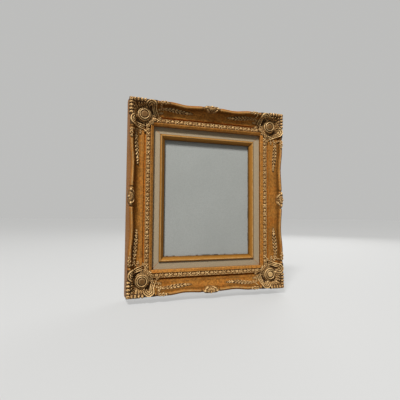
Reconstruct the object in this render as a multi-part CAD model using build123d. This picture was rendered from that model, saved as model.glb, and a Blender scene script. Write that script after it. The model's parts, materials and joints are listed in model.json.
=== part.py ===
from build123d import *
import math
import os

# An ornate gilded picture frame: a swept and mitred moulding with cast ornament, a linen liner,
# a gilt fillet, and the panel, backing and hardware behind them.
# All sizes are in millimetres. The wall is the plane y = 0, the front faces -Y and +Z is up.

# Picture panel and backing board
panel_width = 203.2
panel_height = 254.0
panel_thickness = 3.0
backing_thickness = 3.0
panel_play = 0.8
panel_face_gap = 0.3
back_recess = 6.4

# Gilt fillet round the picture
sight_lip = 5.0
fillet_width = 10.0
fillet_lip_thickness = 5.0
fillet_crest_from_sight = 5.5
fillet_crest_rise = 7.0
fillet_proud = 0.5
fillet_round = 0.9
fillet_scoop = 0.6

# Linen-covered liner
linen_width = 14.2
linen_thickness = 0.6
liner_thickness = 13.6
liner_play = 0.5

# Moulding: widths run from its sight edge outwards, heights from the lip that rests on the linen
moulding_width = 52.0
rabbet_width = 6.0
sight_edge_height = 6.4
sight_band_width = 6.5
sight_band_rise = 2.6
bead_width = 9.0
bead_seat_height = 4.6
groove_width = 4.5
groove_depth = 2.8
ledge_width = 5.0
ledge_height = 5.6
cove_step = 1.2
cove_radius = 14.5

# Swept rim: how far it stands in from the outer edge and how high it rises from the back
rim_radius = 4.2
rim_inset_corner = 2.6
rim_inset_span = 5.6
rim_inset_centre = 4.2
rim_height_corner = 42.2
rim_height_span = 40.8
side_shoulder = 16.0
corner_run = 83.0
centre_run = 34.0
sweep_steps = 5

# Running ornament in its bead seat
bead_height = 4.0
bead_clearance = 0.2
leaf_pitch = 19.0
leaf_length = 13.0
leaf_width = 6.5
leaf_relief = 1.1

# Cast ornament
glue_line = 0.1
skin_thickness = 2.0
relief_height = 2.2
ornament_drop = 6.0
ornament_margin = 0.8
corner_reach_rim = 59.0
corner_reach_cove = 56.0
corner_reach_bead = 53.0
bead_end_gap = 0.3
cartouche_radius = 15.0
cartouche_foot = 2.6
cartouche_top_radius = 11.0
cartouche_rise = 8.6
disc_radius = 6.2
disc_rise = 1.8
disc_edge_rise = 0.8
disc_flat_radius = 4.4
ring_inner_radius = 8.0
ring_outer_radius = 10.4
ring_rise = 2.0
scroll_radius = 10.6
scroll_width = 3.2
scroll_along = 44.7
scroll_mouth_angle = 120.0
curl_radius = 2.7
pearl_radius = 3.1
pearl_pitch = 8.2
pearl_count = 3
rim_leaf_length = 24.0
rim_leaf_width = 7.0
sight_leaf_length = 17.0
sight_leaf_width = 9.0
centre_length = 34.0
centre_depth = 13.0
shell_rib_count = 5
shell_rib_width = 3.0
shell_rib_root_share = 0.4
spray_start = 77.0
spray_length = 58.0
spray_width = 10.5
spray_relief = 2.4
spray_clearance = 0.25
spray_steps = 8
spray_lobe_waist = 0.66
spray_root_share = 0.14
spray_tip_share = 0.86

# Hardware on the back
bumper_radius = 6.35
bumper_height = 4.8
bumper_bevel = 1.2
bumper_along = 31.0
bumper_in = 15.0
button_width = 10.0
button_reach = 22.0
button_nose_radius = 4.0
button_thickness = 1.2
button_gap = 0.3
screw_radius = 1.5
screw_head_radius = 3.0
screw_head_height = 2.0
screw_head_bevel = 0.8
screw_length = 9.0
screw_hole_clearance = 0.3
pilot_clearance = 0.05
hanger_drop = 132.5
strap_width = 9.5
strap_length = 24.0
strap_thickness = 1.6
strap_screw_from_hinge = 16.0
knuckle_radius = 2.0
ring_wire_radius = 1.0
ring_bore_clearance = 0.08
ring_width = 16.0
ring_reach = 13.0
ring_straight = 4.5
ring_arch_steps = 8
hinge_from_edge = 32.0
point_width = 10.0
point_length = 14.0
point_bite = 5.0
point_thickness = 0.4
point_from_corner = 99.0
nail_leg = 6.0
nail_thickness = 0.8
nail_depth = 8.0
nail_first = 15.0
nail_pitch = 18.0
nail_count = 2

# Straight facets of the round forms
rim_facets = 3
cove_facets = 3
bead_facets = 4
round_facets = 8
small_facets = 6

# Half sizes of the rectangles that the pieces share
sight_half = (panel_width / 2 - sight_lip, panel_height / 2 - sight_lip)
fillet_half = tuple(h + fillet_width for h in sight_half)
moulding_sight_half = tuple(h + linen_width for h in fillet_half)
outer_half = tuple(h + moulding_width for h in moulding_sight_half)
liner_half = tuple(h + rabbet_width - liner_play for h in moulding_sight_half)
liner_width = linen_width + rabbet_width - liner_play

# Heights above the wood's back plane
panel_back = back_recess + backing_thickness
fillet_lip = panel_back + panel_thickness + panel_face_gap
fillet_sight = fillet_lip + fillet_lip_thickness
liner_face = back_recess + liner_thickness
linen_face = liner_face + linen_thickness
sight_top = linen_face + sight_edge_height
band_top = sight_top + sight_band_rise
seat = linen_face + bead_seat_height
ledge = linen_face + ledge_height
cove_foot = ledge - cove_step

# Places across the moulding, from its outer edge inwards
rabbet_wall = moulding_width - rabbet_width
band_edge = moulding_width - sight_band_width
seat_edge = band_edge - bead_width
groove_edge = seat_edge - groove_width
ledge_edge = groove_edge - ledge_width
bead_middle = (seat_edge + band_edge) / 2


def side_planes(half):
    """A plane for each side of a rectangle: X runs along the side, Y inwards and Z to the front."""
    half_width, half_height = half
    back = -bumper_height
    front = (0, -1, 0)
    return {
        "top": (Plane((0, back, half_height), x_dir=(-1, 0, 0), z_dir=front), half_width),
        "bottom": (Plane((0, back, -half_height), x_dir=(1, 0, 0), z_dir=front), half_width),
        "left": (Plane((-half_width, back, 0), x_dir=(0, 0, -1), z_dir=front), half_height),
        "right": (Plane((half_width, back, 0), x_dir=(0, 0, 1), z_dir=front), half_height),
    }


def across(along):
    """The plane that cuts a side square, at a place along it: X runs inwards and Y to the front."""
    return Plane((along, 0, 0), x_dir=(0, 1, 0), z_dir=(1, 0, 0))


def prism(outline, low, high):
    """A plan outline carried from one height to another."""
    return Pos(0, 0, low) * extrude(outline, high - low)


def mitre_block(half_length, width):
    """The space of one side between its two mitres."""
    height = rim_height_corner + skin_thickness + relief_height + ornament_drop
    plan = make_face(Polyline(
        (-half_length, 0), (half_length, 0),
        (half_length - width, width), (width - half_length, width), close=True))
    return prism(plan, -height, height)


def mitred_bar(section, half_length, width):
    """A straight length of one section with both ends mitred."""
    bar = across(-half_length) * extrude(section, 2 * half_length)
    return bar & mitre_block(half_length, width)


def polygon_face(*points):
    return make_face(Polyline(*points, close=True))


def lens(start, end, width):
    """A leaf shape between two points, widest over its middle third."""
    first = Vector(*start)
    last = Vector(*end)
    third = (last - first) * (1 / 3)
    out = third.normalized().rotate(Axis.Z, 90) * (width / 2)
    return polygon_face(
        first, first + third + out, last - third + out, last,
        last - third - out, first + third - out)


def rounded(radius, facets):
    """A round plan with straight facets that lie outside the circle, one of them square to X."""
    return RegularPolygon(radius, facets, major_radius=False, rotation=180 / facets)


def boss(radius, base, shoulder, tip_radius, tip, facets):
    """A round boss along Z with a bevelled end."""
    stem = prism(rounded(radius, facets), min(base, shoulder), max(base, shoulder))
    height = abs(tip - shoulder)
    slope = math.degrees(math.atan2(radius - tip_radius, height))
    bevel = extrude(rounded(radius, facets), height, taper=slope)
    if tip < shoulder:
        bevel = mirror(bevel, about=Plane.XY)
    return stem + Pos(0, 0, shoulder) * bevel


def faceted_loft(rings):
    """A closed solid through rings of points, with triangles between them and flat ends."""
    triangles = []
    for ring, following in zip(rings, rings[1:]):
        for i, corner in enumerate(ring):
            j = (i + 1) % len(ring)
            triangles.append((corner, ring[j], following[j]))
            triangles.append((corner, following[j], following[i]))
    faces = [Face(Wire.make_polygon(points)) for points in [*triangles, rings[0], rings[-1]]]
    return Solid(Shell(faces))


# The moulding's top line

def cove_centre(rim):
    """The centre of the cove's arc, which is tangent to the rim and ends at the cove's foot."""
    foot = Vector(ledge_edge, cove_foot)
    gap = foot - rim
    reach = rim_radius + cove_radius
    along = (reach ** 2 - cove_radius ** 2 + gap.length ** 2) / (2 * gap.length)
    rise = math.sqrt(reach ** 2 - along ** 2)
    direction = gap.normalized()
    return rim + direction * along + direction.rotate(Axis.Z, 90) * rise


def rim_and_cove(inset, top):
    """The rim's centre, the cove's centre and the directions where their two arcs begin and end."""
    rim = Vector(inset + rim_radius, top - rim_radius)
    cove = cove_centre(rim)
    to_cove = (cove - rim).normalized()
    to_foot = (Vector(ledge_edge, cove_foot) - cove).normalized()
    return rim, cove, to_cove, to_foot


def top_arcs(inset, top):
    """The arcs over the rim and down the cove, with the first point and the last."""
    rim, cove, to_cove, to_foot = rim_and_cove(inset, top)
    up = Vector(0, 1)
    outer = rim + Vector(-rim_radius, 0)
    crest = rim + up * rim_radius
    join = rim + to_cove * rim_radius
    foot = cove + to_foot * cove_radius
    hollow = cove + (to_foot - to_cove).normalized() * cove_radius
    arcs = [
        ThreePointArc(outer, rim + (up - Vector(1, 0)).normalized() * rim_radius, crest),
        ThreePointArc(crest, rim + (up + to_cove).normalized() * rim_radius, join),
        ThreePointArc(join, hollow, foot),
    ]
    return arcs, outer, foot


def lifted_line(inset, top, lift):
    """Points on the rim and cove, lifted off the wood by a thickness and joined by straight facets."""
    rim, cove, to_cove, to_foot = rim_and_cove(inset, top)
    start = 180.0
    turn = start - math.degrees(math.atan2(to_cove.Y, to_cove.X))
    clear = (rim_radius + lift) / math.cos(math.radians(turn / rim_facets / 2))
    points = [
        rim + Vector(clear, 0).rotate(Axis.Z, start - turn * i / rim_facets)
        for i in range(rim_facets + 1)
    ]
    sweep_angle = to_foot.get_angle(-to_cove)
    points += [
        cove - to_cove.rotate(Axis.Z, sweep_angle * i / cove_facets) * (cove_radius - lift)
        for i in range(1, cove_facets + 1)
    ]
    return points


def moulding_section(inset, top):
    """The whole section of a rail where its rim has a given inset and height."""
    arcs, outer, foot = top_arcs(inset, top)
    groove_low = Vector((groove_edge + seat_edge) / 2, ledge - groove_depth)
    inner = Polyline(
        (seat_edge, seat), (band_edge, seat), (band_edge, band_top),
        (moulding_width, sight_top), (moulding_width, linen_face),
        (rabbet_wall, linen_face), (rabbet_wall, 0), (0, 0), (0, side_shoulder), outer)
    shelf = Polyline(foot, (ledge_edge + cove_step, ledge), (groove_edge, ledge))
    groove = ThreePointArc((groove_edge, ledge), groove_low, (seat_edge, seat))
    return make_face([*arcs, *shelf.edges(), groove, *inner.edges()])


def swell(share):
    """1 at share 0, falling smoothly to 0 at share 1 and staying there."""
    return (1 + math.cos(math.pi * min(share, 1.0))) / 2


def rim_at(along, half_length):
    """The rim's inset and height at a place along a side, from the side's middle."""
    start = centre_run / 2
    share = (abs(along) - start) / (half_length - corner_run - start)
    share = min(max(share, 0.0), 1.0)
    near_centre = swell(2 * share)
    near_corner = swell(2 - 2 * share)
    inset = rim_inset_span
    inset += (rim_inset_centre - rim_inset_span) * near_centre
    inset += (rim_inset_corner - rim_inset_span) * near_corner
    top = rim_height_span + (rim_height_corner - rim_height_span) * (near_centre + near_corner)
    return inset, top


def rail(half_length):
    """A swept rail: straight runs under the corner and centre ornament, scallops lofted between."""
    start = centre_run / 2
    end = half_length - corner_run
    stations = [start + (end - start) * i / sweep_steps for i in range(sweep_steps + 1)]
    sections = [across(s) * moulding_section(*rim_at(s, half_length)) for s in stations]
    scallop = loft(sections, ruled=True)
    centre = across(-start) * extrude(moulding_section(*rim_at(0, half_length)), centre_run)
    corner = across(end) * extrude(moulding_section(*rim_at(end, half_length)), corner_run)
    half_rail = scallop + corner
    whole = half_rail + centre + mirror(half_rail, about=Plane.YZ)
    return whole & mitre_block(half_length, moulding_width)


# Ornament that follows the moulding

def ornament_section(inset, top, lift):
    """A section whose top follows the moulding at a height and whose underside is inside the wood."""
    line = lifted_line(inset, top, lift)
    inside = inset + rim_radius
    floor = linen_face + cove_step
    sight = moulding_width - ornament_margin
    drop = line[0].Y - ornament_drop
    return polygon_face(
        *line, (ledge_edge + cove_step, ledge + lift), (groove_edge, ledge + lift),
        (bead_middle, seat + bead_height + lift), (band_edge, band_top + lift),
        (sight, sight_top + lift), (sight, floor), (inside, floor),
        (inside, drop), (line[0].X, drop))


def wood_section(inset, top):
    """The moulding with straight facets, a glue line larger, which cast ornament is cut to fit."""
    line = lifted_line(inset, top, glue_line)
    groove_low = ledge - groove_depth + glue_line
    return polygon_face(
        (-glue_line, 0), (-glue_line, side_shoulder), *line,
        (ledge_edge + cove_step, ledge + glue_line), (groove_edge + glue_line, ledge + glue_line),
        ((groove_edge + seat_edge) / 2, groove_low), (seat_edge, seat + glue_line),
        (band_edge - glue_line, seat + glue_line), (band_edge - glue_line, band_top + glue_line),
        (moulding_width + glue_line, sight_top + glue_line), (moulding_width + glue_line, 0))


def both_arms(section, length):
    """Two lengths of a section that meet at a corner's mitre, with the tip at the origin."""
    wedge = polygon_face((0, 0), (length, 0), (length, length))
    height = rim_height_corner + skin_thickness + relief_height
    arm = (across(0) * extrude(section, length)) & prism(wedge, -height, 2 * height)
    return arm + mirror(arm, about=Plane((0, 0, 0), z_dir=(1, -1, 0)))


def across_mitre(shape):
    """A plan shape and its twin on the other arm of the corner."""
    return shape + mirror(shape, about=Plane((0, 0, 0), z_dir=(1, -1, 0)))


def corner_plan():
    """The plan of a corner ornament: a rounded block with leaves along the rim and to the sight corner."""
    edge = ornament_margin
    disc_at = (ledge_edge + seat_edge) / 2
    sight = moulding_width - ornament_margin
    field = polygon_face(
        (edge, edge), (corner_reach_rim, edge), (corner_reach_cove, disc_at / 2),
        (corner_reach_cove, disc_at), (corner_reach_bead, bead_middle), (sight, sight),
        (bead_middle, corner_reach_bead), (disc_at, corner_reach_cove),
        (disc_at / 2, corner_reach_cove), (edge, corner_reach_rim))
    rim_line = rim_inset_corner + rim_radius
    leaf = lens((corner_reach_rim - ornament_drop, rim_line),
                (corner_reach_rim - ornament_drop + rim_leaf_length, rim_line), rim_leaf_width)
    return field + across_mitre(leaf)


def corner_relief():
    """The raised forms of a corner in plan: two scrolls, pearls and a leaf to the sight."""
    scroll_in = scroll_radius + scroll_width / 2 + ornament_margin + rim_inset_corner / 2
    outside = scroll_radius + scroll_width / 2
    inside = scroll_radius - scroll_width / 2
    mouth = math.radians(scroll_mouth_angle / 2)
    reach = 2 * outside
    opening = polygon_face(
        (0, 0), (reach * math.sin(mouth), reach * math.cos(mouth)),
        (0, reach), (-reach * math.sin(mouth), reach * math.cos(mouth)))
    hoop = rounded(outside, round_facets) - rounded(inside, round_facets) - opening
    curl_x = scroll_radius * math.sin(mouth)
    curl_y = scroll_radius * math.cos(mouth)
    curl = rounded(curl_radius, small_facets)
    curls = Pos(curl_x, curl_y) * curl + Pos(-curl_x, curl_y) * curl
    scroll = Pos(scroll_along, scroll_in) * (hoop + curls)
    edge = ornament_margin + pearl_radius
    pearl = rounded(pearl_radius, small_facets)
    pearls = [Pos(edge + pearl_pitch * i, edge) * pearl for i in range(1, pearl_count + 1)]
    sight = moulding_width - 2 * ornament_margin
    root = sight - sight_leaf_length / math.sqrt(2)
    leaf = lens((root, root), (sight, sight), sight_leaf_width)
    arm = scroll
    for one in pearls:
        arm = arm + one
    return across_mitre(arm) + Pos(edge, edge) * pearl + leaf


def cartouche(low):
    """A boss that fills the cove at a corner and carries a ring and a disc."""
    disc_at = (ledge_edge + seat_edge) / 2
    top = ledge + cartouche_rise
    mount = boss(
        cartouche_radius, low, ledge + cartouche_foot, cartouche_top_radius, top, round_facets)
    ring = rounded(ring_outer_radius, round_facets) - rounded(ring_inner_radius, round_facets)
    disc = boss(disc_radius, low, top + disc_edge_rise, disc_flat_radius, top + disc_rise, round_facets)
    return Pos(disc_at, disc_at) * (mount + prism(ring, top - ring_rise, top + ring_rise) + disc)


def corner_ornament():
    """A cast corner in its own frame: X and Y run along the two outer edges and Z to the front."""
    inset, top = rim_inset_corner, rim_height_corner
    low = linen_face
    high = top + skin_thickness + 2 * relief_height
    skin = both_arms(ornament_section(inset, top, skin_thickness), corner_run)
    raised = both_arms(ornament_section(inset, top, skin_thickness + relief_height), corner_run)
    cast = (skin & prism(corner_plan(), low, high)) + (raised & prism(corner_relief(), low, high))
    return cast + cartouche(low) - both_arms(wood_section(inset, top), corner_run + corner_reach_rim)


def centre_ornament():
    """A shell on the rim at the middle of a side, in the side's own frame."""
    inset, top = rim_inset_centre, rim_height_corner
    low = linen_face
    high = top + skin_thickness + 2 * relief_height
    half = centre_length / 2
    near = inset - skin_thickness - relief_height
    far = near + centre_depth
    crest = inset + rim_radius

    def length_of(lift):
        return across(-half) * extrude(ornament_section(inset, top, lift), centre_length)

    plan = polygon_face(*[
        Vector(0, (near + far) / 2) + Vector(
            half * math.cos(2 * math.pi * i / round_facets),
            centre_depth / 2 * math.sin(2 * math.pi * i / round_facets))
        for i in range(round_facets)])
    ribs = lens((0, near), (0, far), shell_rib_width)
    for i in range(1, shell_rib_count // 2 + 1):
        spread = i * centre_length / (shell_rib_count + 2)
        fall = i * relief_height
        root = spread * shell_rib_root_share
        ribs = ribs + lens((root, near), (spread, far - fall), shell_rib_width)
        ribs = ribs + lens((-root, near), (-spread, far - fall), shell_rib_width)
    for side in (-1, 1):
        ribs = ribs + Pos(side * (half - 2 * curl_radius), crest) * rounded(curl_radius, small_facets)
    cast = length_of(skin_thickness) & prism(plan, low, high)
    cast = cast + (length_of(skin_thickness + relief_height) & prism(ribs & plan, low, high))
    return cast - across(-half) * extrude(wood_section(inset, top), centre_length)


def spray_ring(along, half_length, width):
    """Points round a leaf that lies in the cove at one place along a side."""
    inset, top = rim_at(along, half_length)
    rim = Vector(inset + rim_radius, top - rim_radius)
    cove = cove_centre(rim)
    to_foot = (Vector(ledge_edge, cove_foot) - cove).normalized()
    to_rim = (rim - cove).normalized()
    middle = (to_foot + to_rim).normalized()
    radius = cove_radius - spray_clearance
    spread = math.degrees(width / radius) / 2
    height = spray_relief * width / spray_width

    def at(share, lift):
        return cove + middle.rotate(Axis.Z, spread * share) * (radius - lift)

    ring = (at(-1, 0), at(0, 0), at(1, 0), at(0, height))
    return [Vector(along, point.X, point.Y) for point in ring]


def leaf_spray(half_length, side):
    """A leaf spray in the cove: its lobes swell and narrow towards the tip."""
    rings = []
    for i in range(spray_steps + 1):
        share = i / spray_steps
        lobe = 1.0 if i % 2 else spray_lobe_waist
        taper = math.sin(math.pi * (spray_root_share + (spray_tip_share - spray_root_share) * share))
        along = side * (half_length - spray_start - spray_length * share)
        rings.append(spray_ring(along, half_length, spray_width * lobe * taper))
    return faceted_loft(rings)


def running_ornament(half_length):
    """A half-round strip with leaves along it, between the corner ornaments."""
    strip_half = half_length - corner_reach_bead - bead_end_gap - pearl_radius
    low_edge = seat_edge + bead_clearance
    high_edge = band_edge - bead_clearance

    def bead(height):
        return polygon_face(*[
            Vector(bead_middle, seat) + Vector(
                (high_edge - low_edge) / 2 * math.cos(math.pi * i / bead_facets),
                height * math.sin(math.pi * i / bead_facets))
            for i in range(bead_facets + 1)])

    core = across(-strip_half) * extrude(bead(bead_height), 2 * strip_half)
    raised = across(-strip_half) * extrude(bead(bead_height + leaf_relief), 2 * strip_half)
    count = int(2 * strip_half / leaf_pitch)
    first = -leaf_pitch * (count - 1) / 2
    half_leaf = leaf_length / 2
    half_width = leaf_width / 2
    leaf = polygon_face((-half_leaf, 0), (0, half_width), (half_leaf, 0), (0, -half_width))
    spots = [(first + leaf_pitch * i, bead_middle) for i in range(count)]
    pattern = Sketch() + [Pos(*spot) * leaf for spot in spots]
    return core + (raised & prism(pattern, seat, seat + bead_height + leaf_relief))


# Liner, linen, fillet and what they hold

def liner_section():
    return polygon_face(
        (0, back_recess), (liner_width, back_recess), (liner_width, liner_face), (0, liner_face))


def linen_section():
    return polygon_face(
        (0, liner_face), (liner_width, liner_face), (liner_width, linen_face), (0, linen_face))


def fillet_section():
    """A rabbeted slip with a rounded crest and a scooped face down to the picture."""
    shoulder = Vector(0, linen_face + fillet_proud)
    crest = Vector(fillet_width - fillet_crest_from_sight, fillet_sight + fillet_crest_rise)
    sight = Vector(fillet_width, fillet_sight)
    back = (crest - shoulder).normalized().rotate(Axis.Z, 90)
    face = (sight - crest).normalized().rotate(Axis.Z, 90)
    wall = fillet_width - sight_lip - panel_play
    legs = Polyline(
        sight, (fillet_width, fillet_lip), (wall, fillet_lip), (wall, back_recess),
        (0, back_recess), shoulder)
    return make_face([
        ThreePointArc(shoulder, (shoulder + crest) * 0.5 + back * fillet_round, crest),
        ThreePointArc(crest, (crest + sight) * 0.5 - face * fillet_scoop, sight),
        *legs.edges()])


def board(thickness, back):
    """A flat board of the panel's size with its back at a height above the wood's back plane."""
    place = -bumper_height - back - thickness / 2
    return Pos(0, place, 0) * Box(panel_width, thickness, panel_height)


# Hardware

def screw(head_seat):
    """A pan head screw along Z, with its head on a seat height and its shank to the front."""
    head = boss(
        screw_head_radius, head_seat, head_seat - screw_head_height + screw_head_bevel,
        screw_head_radius - screw_head_bevel, head_seat - screw_head_height, small_facets)
    return head + prism(rounded(screw_radius, small_facets), head_seat, head_seat + screw_length)


def pilot(start):
    """The hole that a screw's shank takes in the wood, from a height to the front."""
    return prism(rounded(screw_radius + pilot_clearance, small_facets), start, start + screw_length)


def turn_button():
    """A turn button whose pivot is the origin and whose nose points inwards along Y."""
    head = rounded(button_width / 2, round_facets)
    nose = Pos(0, button_reach - button_nose_radius) * rounded(button_nose_radius, round_facets)
    blade = make_hull(head.edges() + nose.edges())
    hole = rounded(screw_radius + screw_hole_clearance, round_facets)
    low = back_recess - button_gap - button_thickness
    return prism(blade - hole, low, low + button_thickness)


def hanger_strap():
    """A folded strap whose hinge axis is X through the origin, lying along -Y on the wood."""
    plate = polygon_face(
        (-strap_width / 2, 0), (strap_width / 2, 0),
        (strap_width / 2, strap_width / 2 - strap_length),
        (-strap_width / 2, strap_width / 2 - strap_length))
    plate = plate + Pos(0, strap_width / 2 - strap_length) * rounded(strap_width / 2, round_facets)
    hole = Pos(0, -strap_screw_from_hinge) * rounded(screw_radius + screw_hole_clearance, round_facets)
    leaf = prism(plate - hole, -strap_thickness, 0)
    end = Plane((-strap_width / 2, 0, -knuckle_radius), x_dir=(0, 1, 0), z_dir=(1, 0, 0))
    knuckle = extrude(end * rounded(knuckle_radius, round_facets), strap_width)
    bore = extrude(end * rounded(ring_wire_radius + ring_bore_clearance, round_facets), strap_width)
    return leaf + knuckle - bore


def d_ring():
    """A wire ring whose straight bar lies on the hinge axis, flat against the wood."""
    half = ring_width / 2
    arch = ring_reach - ring_straight
    turns = [math.pi * i / ring_arch_steps for i in range(ring_arch_steps + 1)]
    curve = [(half * math.cos(t), ring_straight + arch * math.sin(t)) for t in turns]
    loop = Polyline((-half, 0), (half, 0), *curve, close=True)
    start = Plane((0, 0, 0), x_dir=(0, 1, 0), z_dir=(1, 0, 0))
    wire = start * RegularPolygon(ring_wire_radius, small_facets)
    return Pos(0, 0, -knuckle_radius) * sweep(wire, path=loop, transition=Transition.RIGHT)


def bumper():
    """A round wall bumper standing back from the wood along -Z."""
    return boss(
        bumper_radius, 0, bumper_bevel - bumper_height,
        bumper_radius - bumper_bevel, -bumper_height, round_facets)


def liner_point():
    """A flat point driven into the rabbet wall over the back of the liner."""
    return Pos(0, rabbet_wall - point_bite + point_length / 2, back_recess - point_thickness / 2) * Box(
        point_width, point_length, point_thickness)


def mitre_nail(along):
    """A V nail across a corner's mitre, in the corner's own frame, driven in from the back."""
    inner = along + nail_thickness
    end = along + nail_leg
    plan = polygon_face(
        (along, along), (end, along), (end, inner), (inner, inner), (inner, end), (along, end))
    return prism(plan, 0, nail_depth)


# Assembly

os.makedirs("parts", exist_ok=True)
sides = side_planes(outer_half)
liner_sides = side_planes(liner_half)
fillet_sides = side_planes(fillet_half)
corner_frame = Plane((-outer_half[0], -bumper_height, -outer_half[1]), x_dir=(1, 0, 0), z_dir=(0, -1, 0))
parts = {}


def four_corners(shape):
    """A piece built at the bottom left corner, and its mirror images at the other three."""
    placed = corner_frame.location * shape
    right = mirror(placed, about=Plane.YZ)
    return {
        "bottom_left": placed,
        "bottom_right": right,
        "top_left": mirror(placed, about=Plane.XY),
        "top_right": mirror(right, about=Plane.XY),
    }


nails = [
    nail
    for i in range(nail_count)
    for nail in four_corners(mitre_nail(nail_first + nail_pitch * i)).values()
]
parts["corner_v_nails"] = Compound(children=nails)

button_at = liner_width / 2
button_screws, points, hanger_screws = [], [], []
liner_pilot = pilot(back_recess)
hanger_seat = -strap_thickness
hanger_height = outer_half[1] - hanger_drop
for name, (plane, half_length) in sides.items():
    wood = rail(half_length)
    here = [
        Pos(place, 0) * liner_point()
        for place in (point_from_corner - half_length, half_length - point_from_corner)
    ]
    for one in here:
        wood = wood - one
    points += [plane.location * one for one in here]
    if name in ("left", "right"):
        turn = 1 if name == "right" else -1
        hinge = Pos(turn * hanger_height, hinge_from_edge, 0)
        hole = hinge * Pos(0, -strap_screw_from_hinge, 0)
        wood = wood - hole * pilot(0)
        parts["hanger_strap_" + name] = plane.location * hinge * hanger_strap()
        parts["d_ring_" + name] = plane.location * hinge * d_ring()
        hanger_screws.append(plane.location * hole * screw(hanger_seat))
    wood = plane.location * wood
    for nail in nails:
        wood = wood - nail
    parts["rail_" + name] = wood
    parts["running_ornament_" + name] = plane.location * running_ornament(half_length)
    parts["centre_ornament_" + name] = plane.location * centre_ornament()
    parts["leaf_spray_" + name + "_1"] = plane.location * leaf_spray(half_length, -1)
    parts["leaf_spray_" + name + "_2"] = plane.location * leaf_spray(half_length, 1)

    liner_plane, liner_half_length = liner_sides[name]
    pivot = Pos(0, button_at, 0)
    liner = mitred_bar(liner_section(), liner_half_length, liner_width) - pivot * liner_pilot
    parts["liner_" + name] = liner_plane.location * liner
    parts["linen_" + name] = liner_plane.location * mitred_bar(
        linen_section(), liner_half_length, liner_width)
    parts["turn_button_" + name] = liner_plane.location * pivot * turn_button()
    button_screws.append(
        liner_plane.location * pivot * screw(back_recess - button_gap - button_thickness))

    fillet_plane, fillet_half_length = fillet_sides[name]
    parts["fillet_" + name] = fillet_plane.location * mitred_bar(
        fillet_section(), fillet_half_length, fillet_width)

for name, piece in four_corners(corner_ornament()).items():
    parts["corner_ornament_" + name] = piece

bumper_plane, bumper_half_length = sides["bottom"]
for name, turn in (("left", -1), ("right", 1)):
    spot = Pos(turn * (bumper_half_length - bumper_along), bumper_in, 0)
    parts["bumper_" + name] = bumper_plane.location * spot * bumper()

parts["turn_button_screws"] = Compound(children=button_screws)
parts["hanger_screws"] = Compound(children=hanger_screws)
parts["liner_points"] = Compound(children=points)
parts["picture_panel"] = board(panel_thickness, panel_back)
parts["backing_board"] = board(backing_thickness, back_recess)

for name, shape in parts.items():
    export_step(shape, "parts/" + name + ".step")
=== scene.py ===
"""The looks of a gilded picture frame, laid out as an add-on and run as a script."""

import json
import math
from functools import cache
from types import SimpleNamespace

import bmesh
import bpy
import numpy as np
from mathutils import Matrix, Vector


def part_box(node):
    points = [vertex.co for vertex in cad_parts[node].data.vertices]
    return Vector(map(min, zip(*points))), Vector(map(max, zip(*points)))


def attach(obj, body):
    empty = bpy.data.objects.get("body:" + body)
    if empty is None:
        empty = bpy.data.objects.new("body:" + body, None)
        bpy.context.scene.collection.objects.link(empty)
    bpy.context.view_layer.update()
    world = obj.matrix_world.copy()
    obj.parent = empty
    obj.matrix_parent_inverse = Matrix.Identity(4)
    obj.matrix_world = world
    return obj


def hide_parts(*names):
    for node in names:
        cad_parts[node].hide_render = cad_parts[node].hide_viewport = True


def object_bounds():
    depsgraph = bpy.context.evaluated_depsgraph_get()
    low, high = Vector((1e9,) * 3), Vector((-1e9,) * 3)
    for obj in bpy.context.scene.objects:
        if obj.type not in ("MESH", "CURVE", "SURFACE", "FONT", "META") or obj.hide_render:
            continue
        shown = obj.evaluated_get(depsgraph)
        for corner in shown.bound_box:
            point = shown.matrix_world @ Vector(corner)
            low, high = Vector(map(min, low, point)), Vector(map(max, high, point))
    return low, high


bl_info = {
    "name": "Gilded Picture Frame",
    "version": (1, 0, 0),
    "blender": (4, 5, 0),
    "location": "3D View > Sidebar > Frame",
    "description": "Moulding, cast ornament, linen liner, gilt fillet and hardware of a gilded picture frame",
    "category": "Object",
}

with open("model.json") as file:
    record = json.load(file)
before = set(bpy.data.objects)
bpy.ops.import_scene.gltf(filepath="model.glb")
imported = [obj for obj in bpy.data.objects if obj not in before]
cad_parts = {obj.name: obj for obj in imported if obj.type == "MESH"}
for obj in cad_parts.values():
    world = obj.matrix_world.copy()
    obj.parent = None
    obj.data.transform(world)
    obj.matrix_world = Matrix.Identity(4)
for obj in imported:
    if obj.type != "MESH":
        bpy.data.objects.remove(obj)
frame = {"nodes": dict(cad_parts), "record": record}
cad_low, cad_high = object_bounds()

mm = 0.001
SIDES = ("top", "bottom", "left", "right")
LEVEL_SIDES = ("top", "bottom")
CORNERS = {
    "bottom_left": (1, 1),
    "bottom_right": (-1, 1),
    "top_left": (1, -1),
    "top_right": (-1, -1),
}
# The corner whose disc gets a painted highlight while the other discs are painted darker, and the body that
# carries what doesn't move
BRIGHT_DISC = "bottom_right"
ROOT = "frame"
half_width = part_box("rail_top")[1].x / mm
half_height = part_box("rail_left")[1].z / mm
wood_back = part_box("rail_top")[1].y / mm


def height_of(node):
    """How far a node's front stands from the wood's back plane, in millimetres."""
    return wood_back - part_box(node)[0].y / mm


def depth_of(node):
    """How far a node's back stands from the wood's back plane, in millimetres."""
    return wood_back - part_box(node)[1].y / mm


def middle_of(node):
    """The middle of a node's box, in millimetres."""
    low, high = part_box(node)
    return [(a + b) / 2 / mm for a, b in zip(low, high)]


# Settings that a user would change


def length(name, description, default):
    """A size property whose default is given in millimetres."""
    return bpy.props.FloatProperty(
        name=name, description=description, default=default * mm, min=0.0, precision=5, unit="LENGTH")


def colour(name, description, default):
    return bpy.props.FloatVectorProperty(
        name=name, description=description, default=default, size=3, min=0.0, max=1.0, subtype="COLOR")


def angle(name, description, default):
    """An angle property whose default is given in degrees."""
    return bpy.props.FloatProperty(
        name=name, description=description, default=math.radians(default), subtype="ANGLE")


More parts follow.
